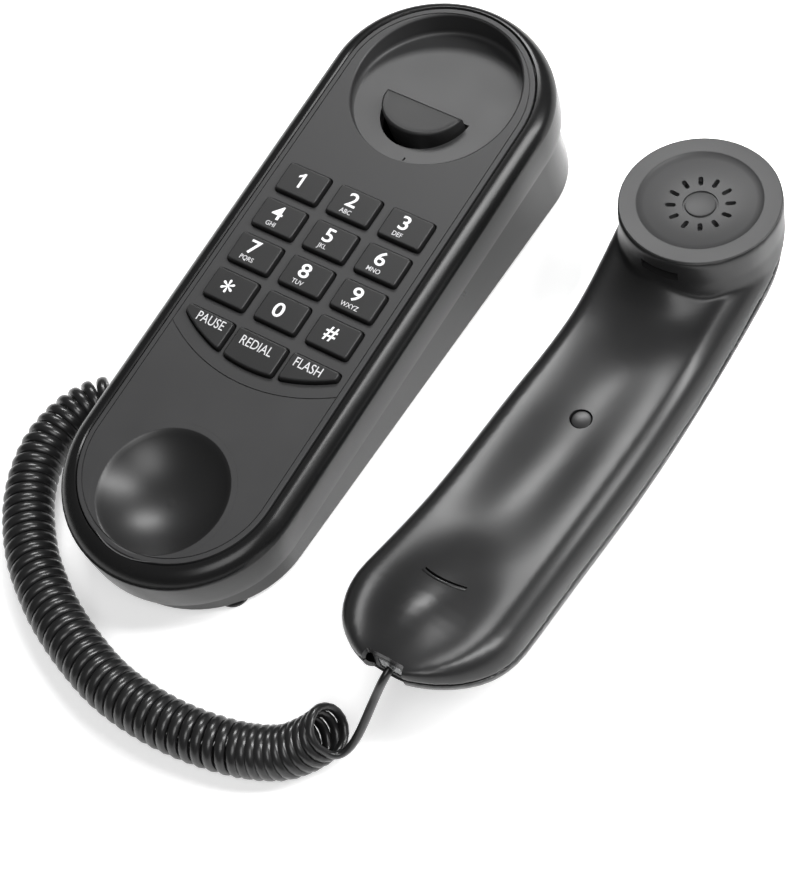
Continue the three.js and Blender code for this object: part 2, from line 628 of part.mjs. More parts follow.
add(handset, 'handset_weight', block(-7, 7, 10, 38, 6, 9.5), STEEL);
add(handset, 'screw_cover', rod(PLUG_AT.r, SCREW_TOP + 0.8, 20, 0, PLUG_AT.y, 16), KEYS);
const screwHead = rod(2.4, SCREW_TOP - 1.2, SCREW_TOP + 0.4, 0, PLUG_AT.y, 12);
add(handset, 'handset_screw', join(screwHead, rod(1.2, 4.5, SCREW_TOP, 0, PLUG_AT.y, 10)), STEEL);
add(handset, 'handset_jack', modularJack(), CLEAR).position.set(0, END_JACK.mouth, END_JACK.z);

// ---- cord --------------------------------------------------------------------------------------------------
// Each plug sits in its jack; a short straight lead joins it to the close-wound length that lies on the table.
const COIL_Z = COIL_D / 2 + 0.1;
const coilOnTable = [[-78.9, -44.9], [-82, -47.6], [-84.5, -52], [-86, -57.5], [-86.2, -65.5], [-84.2, -73.4],
  [-80.6, -81], [-75.8, -87.8], [-67.6, -96.4], [-57.4, -103.8], [-48.4, -108.8], [-38.5, -113], [-28, -116.4],
  [-18.5, -118], [-8.2, -118.5], [1.7, -117.8], [11.3, -116.1], [19.3, -113.6], [25.6, -110.2]];
const coilLiftedEnd = [[29.8, -106, 8.3], [32.4, -102.6, 9.8], [33.9, -100.2, 11.4]];
const coilRoute = [...coilOnTable.map(([x, y]) => [x, y, COIL_Z]), ...coilLiftedEnd];
const baseLeadRoute = [[-72.65, -44.55, 9], [-74.9, -44.55, 8.6], [-76.5, -44.65, 8], [-77.8, -44.75, COIL_Z]];
const handsetLeadRoute = [[41.2, -100.9, 9.2], [42.1, -98, 13], [43.1, -94.8, 17.6], [44.2, -91.4, 22.4],
  [45.2, -88.6, 26.4], [45.9, -86.8, 28.7], [46.2, -86.1, 29.3], [46.2, -85.1, 29.5]];

function tube(route, diameter, sides, steps) {
  const section = new THREE.Shape();
  for (let i = 0; i < sides; i++) {
    const a = (2 * Math.PI * i) / sides;
    const [x, y] = [(diameter / 2) * Math.cos(a), (diameter / 2) * Math.sin(a)];
    if (i === 0) section.moveTo(x, y);
    else section.lineTo(x, y);
  }
  section.closePath();
  return new THREE.ExtrudeGeometry(section, {
    steps: steps,
    extrudePath: new THREE.CatmullRomCurve3(route.map((p) => new THREE.Vector3(...p))),
    bevelEnabled: false,
  });
}

const PLUG = { w: 6.2, h: 4, length: 8.6 };
const plugBody = () => join(
  block(-PLUG.w / 2, PLUG.w / 2, 0, PLUG.length, -PLUG.h / 2, PLUG.h / 2),
  block(-2, 2, 1.5, PLUG.length - 1.5, PLUG.h / 2 - 0.2, PLUG.h / 2 + 0.2),
);

const basePlug = add(phone, 'cord_base_plug', plugBody(), CLEAR);
basePlug.position.set(BASE_AT.x + COVER_LEFT - 4.8, BASE_AT.y + JACK_Y, SIDE_PORTS_Z.jack);
basePlug.rotation.z = -Math.PI / 2;
add(phone, 'cord_base_lead', tube(baseLeadRoute, CORD_D, 8, 3), CORD);
add(phone, 'cord_coil', tube(coilRoute, COIL_D, 10, 44), CORD);
add(phone, 'cord_handset_lead', tube(handsetLeadRoute, CORD_D, 8, 10), CORD);
add(phone, 'cord_handset_plug', plugBody(), CLEAR)
  .position.set(HANDSET_AT.x, HANDSET_AT.y + END_JACK.mouth + 0.2, END_JACK.z);

export default phone;
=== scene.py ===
"""The looks of a slim corded telephone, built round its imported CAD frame.

Shapes are drawn in a few frames: FACE lies on the tilted key face, TABLE is level under the base, HANDSET
is level under the handset, CUP_FRAME is on the tilted earpiece, and LEVEL is the part's own.
"""

import json
import math

import bpy
from mathutils import Matrix, Vector


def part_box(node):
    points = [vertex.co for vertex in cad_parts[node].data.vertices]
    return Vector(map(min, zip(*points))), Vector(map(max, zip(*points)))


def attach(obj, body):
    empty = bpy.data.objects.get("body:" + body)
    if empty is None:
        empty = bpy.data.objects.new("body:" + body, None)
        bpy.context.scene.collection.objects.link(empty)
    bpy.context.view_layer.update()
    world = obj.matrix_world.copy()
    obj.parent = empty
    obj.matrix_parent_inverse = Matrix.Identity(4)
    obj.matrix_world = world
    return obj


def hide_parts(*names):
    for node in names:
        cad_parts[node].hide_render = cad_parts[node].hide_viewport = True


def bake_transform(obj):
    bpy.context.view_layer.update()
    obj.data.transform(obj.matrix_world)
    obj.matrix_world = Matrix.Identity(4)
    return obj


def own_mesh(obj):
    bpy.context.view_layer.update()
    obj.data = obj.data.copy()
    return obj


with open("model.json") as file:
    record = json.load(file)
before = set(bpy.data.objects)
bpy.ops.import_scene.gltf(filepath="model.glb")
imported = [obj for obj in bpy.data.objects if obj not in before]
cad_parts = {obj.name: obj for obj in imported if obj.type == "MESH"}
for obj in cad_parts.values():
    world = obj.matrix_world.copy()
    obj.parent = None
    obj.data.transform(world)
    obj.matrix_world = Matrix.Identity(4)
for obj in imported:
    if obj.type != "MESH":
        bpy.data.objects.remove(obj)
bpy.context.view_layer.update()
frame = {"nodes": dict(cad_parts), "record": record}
MM = 0.001

# ---- driving dimensions ----
# In millimetres. Heights of the base's upper pieces are from the tilted key face, the rest from the table.
GAP = 0.3
FACE_TILT = math.radians(5.5)
FACE_HEIGHT = 35.0
BASE_AT = (-36.3, 5.45)
HANDSET_AT = (46.2, -1.85)

# An outline has a half width, and two elliptic ends: where each starts, and how far it reaches.
RIM = {"w": 34.0, "top": 59.0, "top_reach": 29.9, "bottom": -68.4, "bottom_reach": 33.0}
PLATE = {"w": 28.67, "top": 58.2, "top_reach": 27.2, "bottom": -67.8, "bottom_reach": 27.8}
RIM_Z = -4.6
RIM_WALL = 2.7
LIP_Z = -15.3
PLATE_THICK = 2.3
PANEL_LINE = {"width": 0.34, "depth": 0.3}
FACE_SLIT = {"x": (3.7, 4.2), "y": (36.2, 37.4)}
DISH_WALL = 1.5
WALL = 2.0
COVER_TOP = -11.8
COVER_ROUND = 1.6
FOOT_HEIGHT = 1.5

KEY = {"pitch_x": 17.0, "pitch_y": 12.0, "w": 13.3, "d": 9.0, "rise": 1.5, "corner": 1.0}
KEY_FLANGE = {"reach": 0.95, "top": -2.6, "bottom": -3.4}
KEY_EDGE = 0.5
CLEARANCE = 0.35
FUNCTION_ROW = {"top": -26.5, "centre_y": 9.2, "r": 45.3, "half": 7.9, "gap": 1.9, "tip": 24.8}
PANEL_ARC = {"r": 49.7, "half": 27.2}

EAR = {"y": 59.54, "r": 24.06, "depth": 9.0}
EAR_SLOPE = EAR["depth"] / (2 * EAR["r"])
MOUTH = {"y": -75.97, "r": 18.24, "depth": 7.5}
HOOK = {"half": 12.3, "straight_y": 54.0, "arc_y": 43.0, "rise": 4.2, "pivot_y": 74.0, "pivot_z": -12.6}
HOOK_SKIRT = 10.8
HOOK_EDGE = 1.0
HOOK_HOLLOW = {"border": 2.6, "depth": 0.3}
HOOK_OPENING = {"grow": 0.8, "arc_y": 40.2}
HOOK_ARM = {"half": 6.0, "front_y": 46.0, "half_thick": 1.2, "stem_back_y": 50.0, "stem_top": -5.0}
# The shapes joined into the hook switch differ by this much, so that no two faces lie in one plane.
HOOK_NUDGE = 0.1
HUB_R = 2.8
LUG = {"x": 8.5, "half_x": 1.5, "half_y": 3.5, "bottom": -15.4, "top": -6}
HOOK_SPRING = {"wire": 0.6, "turns": 6, "ground_turns": 0.8, "pressed": 0.66}
JACK = {"w": 9.4, "h": 7.0, "depth": 13.0}
SIDE_PORTS_Z = {"jack": 9.0, "switches": 12.0}
JACK_Y = -50.0
LINE_JACK_Z = 16.0
SWITCH_Y = (18.0, 40.0)
SCREWS = [(-22, -62), (22, -62), (-22, 52), (22, 52)]
SCREW_HOLE_R = 1.9
SCREW_WELL_R = 3.4
FEET = [(-20, -82), (20, -82), (-20, 68), (20, 68)]
FOOT_SEAT_R = 5.3
KEYHOLES = (-30, 30)
KEYHOLE = {"head_r": 4.5, "shank_r": 2.2, "rise": 9}

HAND = {"mouth_end": -86.4, "mouth_round": 26.0, "ear_end": 89.2, "ear_round": 28.0, "ear": 67.75}
HAND_WALL = 2.0
HAND_END_FALL = 0.7
CUP = {"r": 21.8, "z": 37.6, "tilt": math.radians(-5.2), "cap_r": 20.6, "bore_r": 17.5}
EAR_CAP = {"thick": 3.2, "edge_r": 21.55, "flange": 0.45, "dish_r": 16.5, "dish_depth": 2.0, "ring_r": 4.3}
SOUND_SLOTS = {"count": 12, "r": 7.9, "half_straight": 0.8, "end_r": 0.65}
MIC_SLIT = {"y": -58.0, "sag": 1.3, "half": 6.2}
NECK_SLOT = {"x": (-5.5, 5.5), "y": (40, 49), "z": (32.4, 35.2)}
SCREW_COVER = {"y": 4.2, "r": 2.7, "bottom": 18.4}
END_JACK = {"mouth": -83.0, "z": 29.5}

CORD_SECTION = (3.05, 2.1)
COIL_D = 14.5

FACE = Matrix.Translation((*BASE_AT, FACE_HEIGHT)) @ Matrix.Rotation(FACE_TILT, 4, "X")
TABLE = Matrix.Translation((*BASE_AT, 0))
HANDSET = Matrix.Translation((*HANDSET_AT, 0))
CUP_FRAME = HANDSET @ Matrix.Translation((0, HAND["ear"], CUP["z"])) @ Matrix.Rotation(CUP["tilt"], 4, "X")
LEVEL = Matrix.Identity(4)

# ---- camera ----
CAMERA = {
    "at": (0.3229, -0.29445, 0.6513),
    "forward": (-0.41937, 0.35530, -0.83541),
    "roll": math.radians(-18.95),
    "lens": 117.98,
}


def new_object(name, data):
    """An object in the scene that holds a mesh, a curve, a light or the camera."""
    thing = bpy.data.objects.new(name, data)
    bpy.context.scene.collection.objects.link(thing)
    return thing


def add_camera():
    data = bpy.data.cameras.new("camera")
    data.lens = CAMERA["lens"]
    data.sensor_width = 36
    camera = new_object("camera", data)
    aim = Vector(CAMERA["forward"]).to_track_quat("-Z", "Y").to_matrix().to_4x4()
    camera.matrix_world = Matrix.Translation(CAMERA["at"]) @ aim @ Matrix.Rotation(CAMERA["roll"], 4, "Z")
    bpy.context.scene.camera = camera


add_camera()


# ---- materials ----
def srgb(grey):
    """A neutral grey, given as it looks on a screen from 0 to 1, as a linear colour."""
    linear = ((grey + 0.055) / 1.055) ** 2.4 if grey > 0.04 else grey / 12.92
    return (linear, linear, linear * 1.02, 1)


def set_inputs(node, values):
    for name, value in values.items():
        node.inputs[name].default_value = value


def moulded(name, grey, roughness, grain=0.3, depth=0.006, vary=0.05, coat=0.0, specular=0.45):
    """A moulded plastic: a fine grain of so many millimetres, and slow changes of shade and gloss."""
    material = bpy.data.materials.new(name)
    material.use_nodes = True
    nodes, links = material.node_tree.nodes, material.node_tree.links
    shader = nodes["Principled BSDF"]
    set_inputs(shader, {"Coat Weight": coat, "Specular IOR Level": specular})
    place = nodes.new("ShaderNodeTexCoord").outputs["Object"]

    fine = nodes.new("ShaderNodeTexNoise")
    set_inputs(fine, {"Scale": 1 / (grain * MM), "Detail": 3})
    links.new(place, fine.inputs["Vector"])
    bump = nodes.new("ShaderNodeBump")
    set_inputs(bump, {"Strength": 0.35, "Distance": depth * MM})
    links.new(fine.outputs["Fac"], bump.inputs["Height"])
    links.new(bump.outputs["Normal"], shader.inputs["Normal"])

    slow = nodes.new("ShaderNodeTexNoise")
    set_inputs(slow, {"Scale": 70, "Detail": 4})
    links.new(place, slow.inputs["Vector"])
    shade = nodes.new("ShaderNodeMixRGB")
    set_inputs(shade, {"Color1": srgb(grey * (1 - vary)), "Color2": srgb(grey * (1 + vary))})
    links.new(slow.outputs["Fac"], shade.inputs["Fac"])
    links.new(shade.outputs["Color"], shader.inputs["Base Color"])
    gloss = nodes.new("ShaderNodeMapRange")
    set_inputs(gloss, {"To Min": roughness - 0.05, "To Max": roughness + 0.05})
    links.new(slow.outputs["Fac"], gloss.inputs["Value"])
    links.new(gloss.outputs["Result"], shader.inputs["Roughness"])
    return material


def metal(name, colour, roughness):
    """Plated or drawn metal: fine streaks along one way."""
    material = moulded(name, 0.7, roughness, grain=0.6, depth=0.01)
    nodes, links = material.node_tree.nodes, material.node_tree.links
    shader = nodes["Principled BSDF"]
    links.remove(shader.inputs["Base Color"].links[0])
    set_inputs(shader, {"Base Color": (*colour, 1), "Metallic": 1})
    stretch = nodes.new("ShaderNodeMapping")
    set_inputs(stretch, {"Scale": (1, 8, 1)})
    fine = next(n for n in nodes if n.type == "TEX_NOISE")
    source = fine.inputs["Vector"].links[0].from_socket
    links.new(source, stretch.inputs["Vector"])
    links.new(stretch.outputs["Vector"], fine.inputs["Vector"])
    return material


def coloured(name, colour, roughness, **more):
    """A moulded plastic of a colour that isn't grey."""
    material = moulded(name, 0.5, roughness, **more)
    mix = next(n for n in material.node_tree.nodes if n.type == "MIX_RGB")
    dark, light = [c * 0.9 for c in colour], [min(1, c * 1.1) for c in colour]
    set_inputs(mix, {"Color1": (*dark, 1), "Color2": (*light, 1)})
    return material


CASE_BLACK = moulded("case_black", 0.09, 0.25, grain=0.25, depth=0.004, specular=0.32)
FACE_GREY = moulded("face_grey", 0.205, 0.46, grain=0.3, depth=0.012)
# The mouthpiece bowl's material is glossier than the face. Its grey is darker than the face's own grey:
# painted shade in the recess.
BOWL_GLOSS_AND_SHADE = moulded("bowl_gloss_and_painted_shade", 0.125, 0.38, grain=0.3, depth=0.004, specular=0.55)
KEY_BLACK = moulded("key_black", 0.125, 0.42, grain=0.22, depth=0.005)
HANDSET_BLACK = moulded("handset_black", 0.14, 0.33, grain=0.25, depth=0.006)
CAP_BLACK = moulded("cap_black", 0.205, 0.45, grain=0.25, depth=0.008)
HOOK_BLACK = moulded("hook_black", 0.12, 0.5)
KNOB_BLACK = moulded("knob_black", 0.10, 0.45)
LEGEND_WHITE = moulded("legend_white", 0.97, 0.5, grain=0.15, depth=0.004, vary=0.01)
LETTER_GREY = moulded("letter_grey", 0.84, 0.5, grain=0.15, depth=0.004, vary=0.02)
CORD_BLACK = moulded("cord_black", 0.12, 0.3, grain=0.4, depth=0.006, coat=0.15)
RUBBER_BLACK = moulded("rubber_black", 0.12, 0.8, grain=0.35, depth=0.02)
JACK_BLACK = moulded("jack_black", 0.13, 0.4)
STEEL = metal("zinc_steel", (0.6, 0.61, 0.62), 0.32)
BRASS = metal("brass", (0.75, 0.55, 0.25), 0.3)
BOARD_GREEN = coloured("board_green", (0.02, 0.13, 0.05), 0.4)


def clear_plastic():
    material = coloured("clear_plastic", (0.85, 0.87, 0.88), 0.12, grain=0.8, depth=0.003)
    set_inputs(material.node_tree.nodes["Principled BSDF"], {"Transmission Weight": 0.75})
    return material


CLEAR = clear_plastic()


# ---- mesh tools ----
def loft(rings, closed=False):
    """Vertices and faces of a skin through rings of equal point count, capped unless it is a closed loop."""
    n = len(rings[0])
    vertices = [p for ring in rings for p in ring]
    count = len(rings)
    faces = []
    for r in range(count if closed else count - 1):
        for i in range(n):
            a, b = r * n + i, r * n + (i + 1) % n
            up = ((r + 1) % count) * n - r * n
            faces.append((a, b, b + up, a + up))
    if not closed:
        faces.append(tuple(reversed(range(n))))
        faces.append(tuple(range((count - 1) * n, count * n)))
    return vertices, faces


def block(x0, x1, y0, y1, z0, z1):
    corners = [(x0, y0), (x1, y0), (x1, y1), (x0, y1)]
    return loft([[(x, y, z) for x, y in corners] for z in (z0, z1)])


def turned(profile, sides=64, x=0.0, y=0.0):
    """A solid turned about an upright line, from (radius, height) points that start and end off the axis."""
    angles = [2 * math.pi * i / sides for i in range(sides)]
    return loft([[(x + r * math.cos(a), y + r * math.sin(a), z) for a in angles] for r, z in profile])


def arc(cx, cy, r, start, end, steps):
    """Points on an arc, from start to end degrees."""
    angles = [math.radians(start + (end - start) * i / steps) for i in range(steps + 1)]
    return [(cx + r * math.cos(a), cy + r * math.sin(a)) for a in angles]


def mesh_object(name, shape, place):
    """A mesh object from vertices and faces in millimetres, put in its drawing frame."""
    vertices, faces = shape
    mesh = bpy.data.meshes.new(name)
    mesh.from_pydata([(place @ Vector(v)) * MM for v in vertices], [], faces)
    mesh.validate()
    return new_object(name, mesh)


def merged(shapes):
    """Several shapes that stay clear of each other, as one."""
    vertices, faces = [], []
    for v, f in shapes:
        start = len(vertices)
        vertices += v
        faces += [tuple(i + start for i in face) for face in f]
    return vertices, faces


def apply_modifiers(thing):
    graph = bpy.context.evaluated_depsgraph_get()
    mesh = bpy.data.meshes.new_from_object(thing.evaluated_get(graph))
    thing.modifiers.clear()
    thing.data = mesh


def use_tool(thing, operation, tool):
    """Joins another object to a piece ("UNION") or cuts it out ("DIFFERENCE"), and removes it."""
    modifier = thing.modifiers.new("combine", "BOOLEAN")
    modifier.operation = operation
    modifier.solver = "EXACT"
    modifier.object = tool
    apply_modifiers(thing)
    bpy.data.objects.remove(tool)


def combine(thing, operation, *shapes, place):
    """Joins shapes to a piece or cuts them out of it, one after another."""
    for shape in shapes:
        use_tool(thing, operation, mesh_object("tool", shape, place))


def paint(thing, material):
    thing.data.materials.clear()
    thing.data.materials.append(material)


def dress(thing, body, material, replaces=(), sharp=38):
    """Gives a finished mesh its shading and material, and sets what it moves with and stands for."""
    for polygon in thing.data.polygons:
        polygon.use_smooth = True
    thing.data.set_sharp_from_angle(angle=math.radians(sharp))
    weighted = thing.modifiers.new("even shading", "WEIGHTED_NORMAL")
    weighted.keep_sharp = True
    apply_modifiers(thing)
    paint(thing, material)
    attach(thing, body)
    if replaces:
        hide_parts(*replaces)
    return thing


# ---- outlines ----
END_STEPS = 40


def inset(o, by):
    """A smaller outline, by so much all round."""
    return o | {k: o[k] - by for k in ("w", "top_reach", "bottom_reach")}


def between(a, b, t):
    """An outline part of the way from one to another."""
    return {k: a[k] + (b[k] - a[k]) * t for k in a}


def oblong(o, z):
    """The outline with two half-elliptic ends, at a height or at a height that changes with y."""
    points = []
    for y, reach, start in ((o["top"], o["top_reach"], 0), (o["bottom"], o["bottom_reach"], math.pi)):
        for i in range(END_STEPS + 1):
            a = start + math.pi * i / END_STEPS
            py = y + reach * math.sin(a)
            points.append((o["w"] * math.cos(a), py, z(py) if callable(z) else z))
    return points


def level(height):
    """Height in the face frame of a level plane, as it changes with y."""
    return lambda y: (height - FACE_HEIGHT - y * math.sin(FACE_TILT)) / math.cos(FACE_TILT)


def rounded(points, radius, steps=5):
    """A polygon whose marked corners are rounded; each point is (x, y, whether to round it)."""
    out = []
    for i, (x, y, is_corner) in enumerate(points):
        here = Vector((x, y))
        if not is_corner:
            out.append(here)
            continue
        before = Vector(points[i - 1][:2]) - here
        after = Vector(points[(i + 1) % len(points)][:2]) - here
        half = before.angle(after) / 2
        reach = min(radius / math.tan(half), 0.48 * before.length, 0.48 * after.length)
        a, b = here + before.normalized() * reach, here + after.normalized() * reach
        for k in range(steps + 1):
            t = k / steps
            out.append(a * (1 - t) ** 2 + here * 2 * t * (1 - t) + b * t * t)
    return out


# ---- the base: upper case and bottom cover ----
def rim_rings():
    """The outside of the case, from the foot of its lip up and over the rounded rim."""
    rings = [oblong(inset(RIM, 1.0), LIP_Z), oblong(inset(RIM, 0.6), LIP_Z + 0.3)]
    for i in range(4):
        draft = 0.45 * (1 - i / 4) ** 2
        rings.append(oblong(inset(RIM, draft), LIP_Z + 0.6 + (RIM_Z - LIP_Z - 0.6) * i / 4))
    edge = inset(PLATE, -GAP - 0.35)
    for i in range(13):
        a = math.radians(90 * i / 12)
        outline = between(RIM, edge, (1 - math.cos(a)) ** 0.92)
        rings.append(oblong(outline, RIM_Z * (1 - math.sin(a) ** 1.1)))
    return rings


def upper_case():
    """A frame round the face plate, with a ledge under the plate and room for the two recesses."""
    ledge = inset(PLATE, 1.6)
    inner = [
        oblong(inset(PLATE, -GAP), -0.35),
        oblong(inset(PLATE, -GAP), -PLATE_THICK - GAP),
        oblong(ledge, -PLATE_THICK - GAP),
        oblong(ledge, -4.4),
        oblong(inset(RIM, RIM_WALL), -7),
        oblong(inset(RIM, RIM_WALL), LIP_Z),
    ]
    case = mesh_object("upper_case_shell", loft(rim_rings() + inner, closed=True), FACE)
    rooms = []
    for recess, depth in ((EAR, 14), (MOUTH, 12)):
        r = recess["r"] + DISH_WALL + GAP
        rooms.append(turned([(r, -depth), (r, -1)], y=recess["y"]))
    combine(case, "DIFFERENCE", merged(rooms), place=FACE)
    dress(case, "base", CASE_BLACK, ["upper_case"])


def port(x0, x1, y, half_y, z, half_z):
    """A square opening from x0 to x1, centred on y and z."""
    return block(x0, x1, y - half_y, y + half_y, z - half_z, z + half_z)


def keyhole(y):
    """A wall-mounting hole: round for the screw's head, and narrower above for its shank."""
    head = arc(0, y, KEYHOLE["head_r"], 120, 420, 24)
    shank = arc(0, y + KEYHOLE["rise"], KEYHOLE["shank_r"], 0, 180, 10)
    return loft([[(px, py, z) for px, py in head + shank] for z in (-4, 8)])


def cover_tub():
    """The cover's walls and level bottom, with a rounded edge between them."""
    cover = inset(RIM, RIM_WALL + GAP)
    rings = []
    for i in range(6):
        a = math.radians(90 * i / 5)
        height = FOOT_HEIGHT + COVER_ROUND * (1 - math.cos(a))
        rings.append(oblong(inset(cover, COVER_ROUND * (1 - math.sin(a))), level(height)))
    rings += [
        oblong(cover, COVER_TOP),
        oblong(inset(cover, WALL), COVER_TOP),
        oblong(inset(cover, WALL), level(FOOT_HEIGHT + WALL)),
    ]
    return loft(rings)


def bores(places, r, top, sides):
    """A round hole at each place, from below the base up to a height."""
    return [turned([(r, -2), (r, top)], sides, x, y) for x, y in places]


def bottom_cover():
    tub = mesh_object("bottom_cover_shell", cover_tub(), FACE)
    holes = bores(SCREWS, SCREW_HOLE_R, 20, 32)
    wells = bores(SCREWS, SCREW_WELL_R, FOOT_HEIGHT + 1.2, 32)
    seats = bores(FEET, FOOT_SEAT_R, FOOT_HEIGHT + 0.8, 48)
    half_w, half_h = JACK["w"] / 2 + GAP, JACK["h"] / 2 + GAP
    jack = port(-40, -20, JACK_Y, half_w, SIDE_PORTS_Z["jack"], half_h)
    line = port(-half_w, half_w, 86.5, 8.5, LINE_JACK_Z, half_h)
    slots = [port(-40, -25, y, 5, SIDE_PORTS_Z["switches"], 2.2) for y in SWITCH_Y]
    openings = merged(holes + seats + [jack, line] + slots + [keyhole(y) for y in KEYHOLES])
    combine(tub, "DIFFERENCE", openings, merged(wells), place=TABLE)
    dress(tub, "base", CASE_BLACK, ["bottom_cover"])


def rubber_feet():
    for i, (x, y) in enumerate(FEET):
        profile = [(4.0, 0), (4.25, 0.06), (4.42, 0.24), (4.5, 0.5), (5.0, FOOT_HEIGHT + 0.5)]
        foot = mesh_object(f"foot_{i + 1}", turned(profile, 48, x, y), TABLE)
        dress(foot, "base", RUBBER_BLACK, [f"rubber_foot_{i + 1}"])


# ---- the face plate ----
def ear_floor(y):
    """Height of the sloping floor of the earpiece recess."""
    return -EAR_SLOPE * (y - (EAR["y"] - EAR["r"]))


def ear_depth(reach, a):
    """Depth of the floor at a distance from the recess's centre and an angle round it."""
    return max(-ear_floor(EAR["y"] + reach * math.sin(a)), 0.05)


def ear_section(a):
    """The recess's wall at an angle round it, as (radius, height) points from above the face to the floor."""
    r = EAR["r"]
    depth = ear_depth(r, a)
    lip = min(0.7, depth * 0.4)
    foot = min(1.4, depth * 0.45)
    points = [(r + lip + 0.02, 1.2)]
    for t in (0.15, 0.55, 0.95, 1.35, 1.5708):
        points.append((r + lip - lip * math.sin(t), -lip + lip * math.cos(t)))
    for k in range(7):
        s = math.radians(15 * k)
        reach = r - foot + foot * math.cos(s)
        points.append((reach, foot * (1 - math.sin(s)) - ear_depth(reach, a)))
    return points


def ear_recess():
    """The earpiece recess as a solid: a round wall, rounded at its top edge and foot, and a sloping floor."""
    angles = [2 * math.pi * i / 120 for i in range(120)]
    rings = []
    for points in zip(*[ear_section(a) for a in angles]):
        rings.append([(r * math.cos(a), EAR["y"] + r * math.sin(a), z) for a, (r, z) in zip(angles, points)])
    return loft(rings[::-1])


def mouth_bowl(grow=0.0, top=1.0):
    """The mouthpiece recess as a solid, or its outside: a ball's cap, eased where it meets the face."""
    ball = (MOUTH["r"] ** 2 + MOUTH["depth"] ** 2) / (2 * MOUTH["depth"])
    profile = []
    for i in range(1, 22):
        r = (MOUTH["r"] - 0.3) * i / 21 + grow * 0.7
        profile.append((r, ball - MOUTH["depth"] - math.sqrt((ball + grow) ** 2 - r**2)))
    for past, z in ((0.2, -0.06), (0.45, 0.02), (0.5, top)):
        profile.append((MOUTH["r"] + past + grow, z))
    return turned(profile, 96, y=MOUTH["y"])


def groove(path, closed):
    """A panel line: a shallow cut of even width along a path of (x, y) points in the face."""
    corners = [(-1.4, 0.4), (-0.45, -PANEL_LINE["depth"]), (0.45, -PANEL_LINE["depth"]), (1.4, 0.4)]
    rings = []
    n = len(path)
    for i, (x, y) in enumerate(path):
        a = path[(i - 1) % n] if closed or i > 0 else path[i]
        b = path[(i + 1) % n] if closed or i + 1 < n else path[i]
        along = Vector((b[0] - a[0], b[1] - a[1])).normalized()
        side = Vector((along.y, -along.x)) * (PANEL_LINE["width"] / 2)
        rings.append([(x + side.x * s, y + side.y * s, z) for s, z in reversed(corners)])
    return loft(rings, closed=closed)


def dial_outline(x, y):
    """The outline of the dial key at a place, which can be grown all round and set at a height."""
    w, d = KEY["w"] / 2, KEY["d"] / 2

    def outline(grow, z):
        corners = [(1, -1), (1, 1), (-1, 1), (-1, -1)]
        box = [(x + sx * (w + grow), y + sy * (d + grow), True) for sx, sy in corners]
        return [(p.x, p.y, z) for p in rounded(box, KEY["corner"] + grow)]

    return outline


def function_outline(x0, x1):
    """The outline of a function key: straight above and at the sides, and on one common arc below."""
    f = FUNCTION_ROW

    def outline(grow, z):
        left, right, r = x0 - grow, x1 + grow, f["r"] + grow
        points = [(right, f["top"] + grow, True), (left, f["top"] + grow, True)]
        for i in range(7):
            x = left + (right - left) * i / 6
            points.append((x, f["centre_y"] - math.sqrt(r * r - x * x), i in (0, 6)))
        return [(p.x, p.y, z) for p in rounded(points, KEY["corner"] + grow)]

    return outline


def hook_outline(grow, front, z):
    """The half-moon of the hook switch, at a height or at a height that changes with y."""
    half, back = HOOK["half"] + grow, HOOK["straight_y"] + grow
    points = [(half, back), (-half, back)]
    for i in range(1, 32):
        a = math.pi + math.pi * i / 32
        points.append((half * math.cos(a), back + (back - front) * math.sin(a)))
    return [(x, y, z(y) if callable(z) else z) for x, y in points]


FUNCTION_KEYS = {
    "pause": (-FUNCTION_ROW["tip"], -FUNCTION_ROW["half"] - FUNCTION_ROW["gap"]),
    "redial": (-FUNCTION_ROW["half"], FUNCTION_ROW["half"]),
    "flash": (FUNCTION_ROW["half"] + FUNCTION_ROW["gap"], FUNCTION_ROW["tip"]),
}
DIAL_KEYS = [["1", "2", "3"], ["4", "5", "6"], ["7", "8", "9"], ["star", "0", "hash"]]


def key_place(column, row):
    """The middle of a dial key in the face frame."""
    return (column - 1) * KEY["pitch_x"], (1.5 - row) * KEY["pitch_y"]


def key_outlines():
    """Each key's label with its outline."""
    found = {k: function_outline(*span) for k, span in FUNCTION_KEYS.items()}
    for j, row in enumerate(DIAL_KEYS):
        for i, label in enumerate(row):
            found[label] = dial_outline(*key_place(i, j))
    return found


OUTLINES = key_outlines()


def gloss_and_shade_bowl(plate):
    """Gives the mouthpiece bowl, inside its eased edge, a smoother finish than the textured face, and a
    darker grey that is painted shade.
    """
    plate.data.materials.append(BOWL_GLOSS_AND_SHADE)
    into_face = FACE.inverted()
    for polygon in plate.data.polygons:
        x, y, z = into_face @ (polygon.center / MM)
        if math.hypot(x, y - MOUTH["y"]) < MOUTH["r"] and z < -0.15 and polygon.normal.z > 0.3:
            polygon.material_index = 1


def plate_blank():
    """The plate, with the walls of its two recesses and the hook's lugs joined on below."""
    heights = ((0, -PLATE_THICK), (0, -0.35), (0.1, -0.1), (0.35, 0))
    plate = mesh_object("face_plate_skin", loft([oblong(inset(PLATE, by), z) for by, z in heights]), FACE)
    r = EAR["r"] + DISH_WALL
    dish = mesh_object("dish", turned([(r, -11.1), (r, -1)], 96, y=EAR["y"]), FACE)
    corners = [(-40, 20), (40, 20), (40, 95), (-40, 95)]
    far_below = [(x, y, -40) for x, y in corners]
    under_floor = [(x, y, min(ear_floor(y), 0) - 2.1) for x, y in corners]
    combine(dish, "DIFFERENCE", loft([far_below, under_floor]), place=FACE)
    use_tool(plate, "UNION", dish)
    lugs = []
    for side in (-1, 1):
        x, y = side * LUG["x"], HOOK["pivot_y"]
        sides = (x - LUG["half_x"], x + LUG["half_x"], y - LUG["half_y"], y + LUG["half_y"])
        lugs.append(block(*sides, LUG["bottom"], LUG["top"]))
    combine(plate, "UNION", mouth_bowl(DISH_WALL, -1), merged(lugs), place=FACE)
    return plate


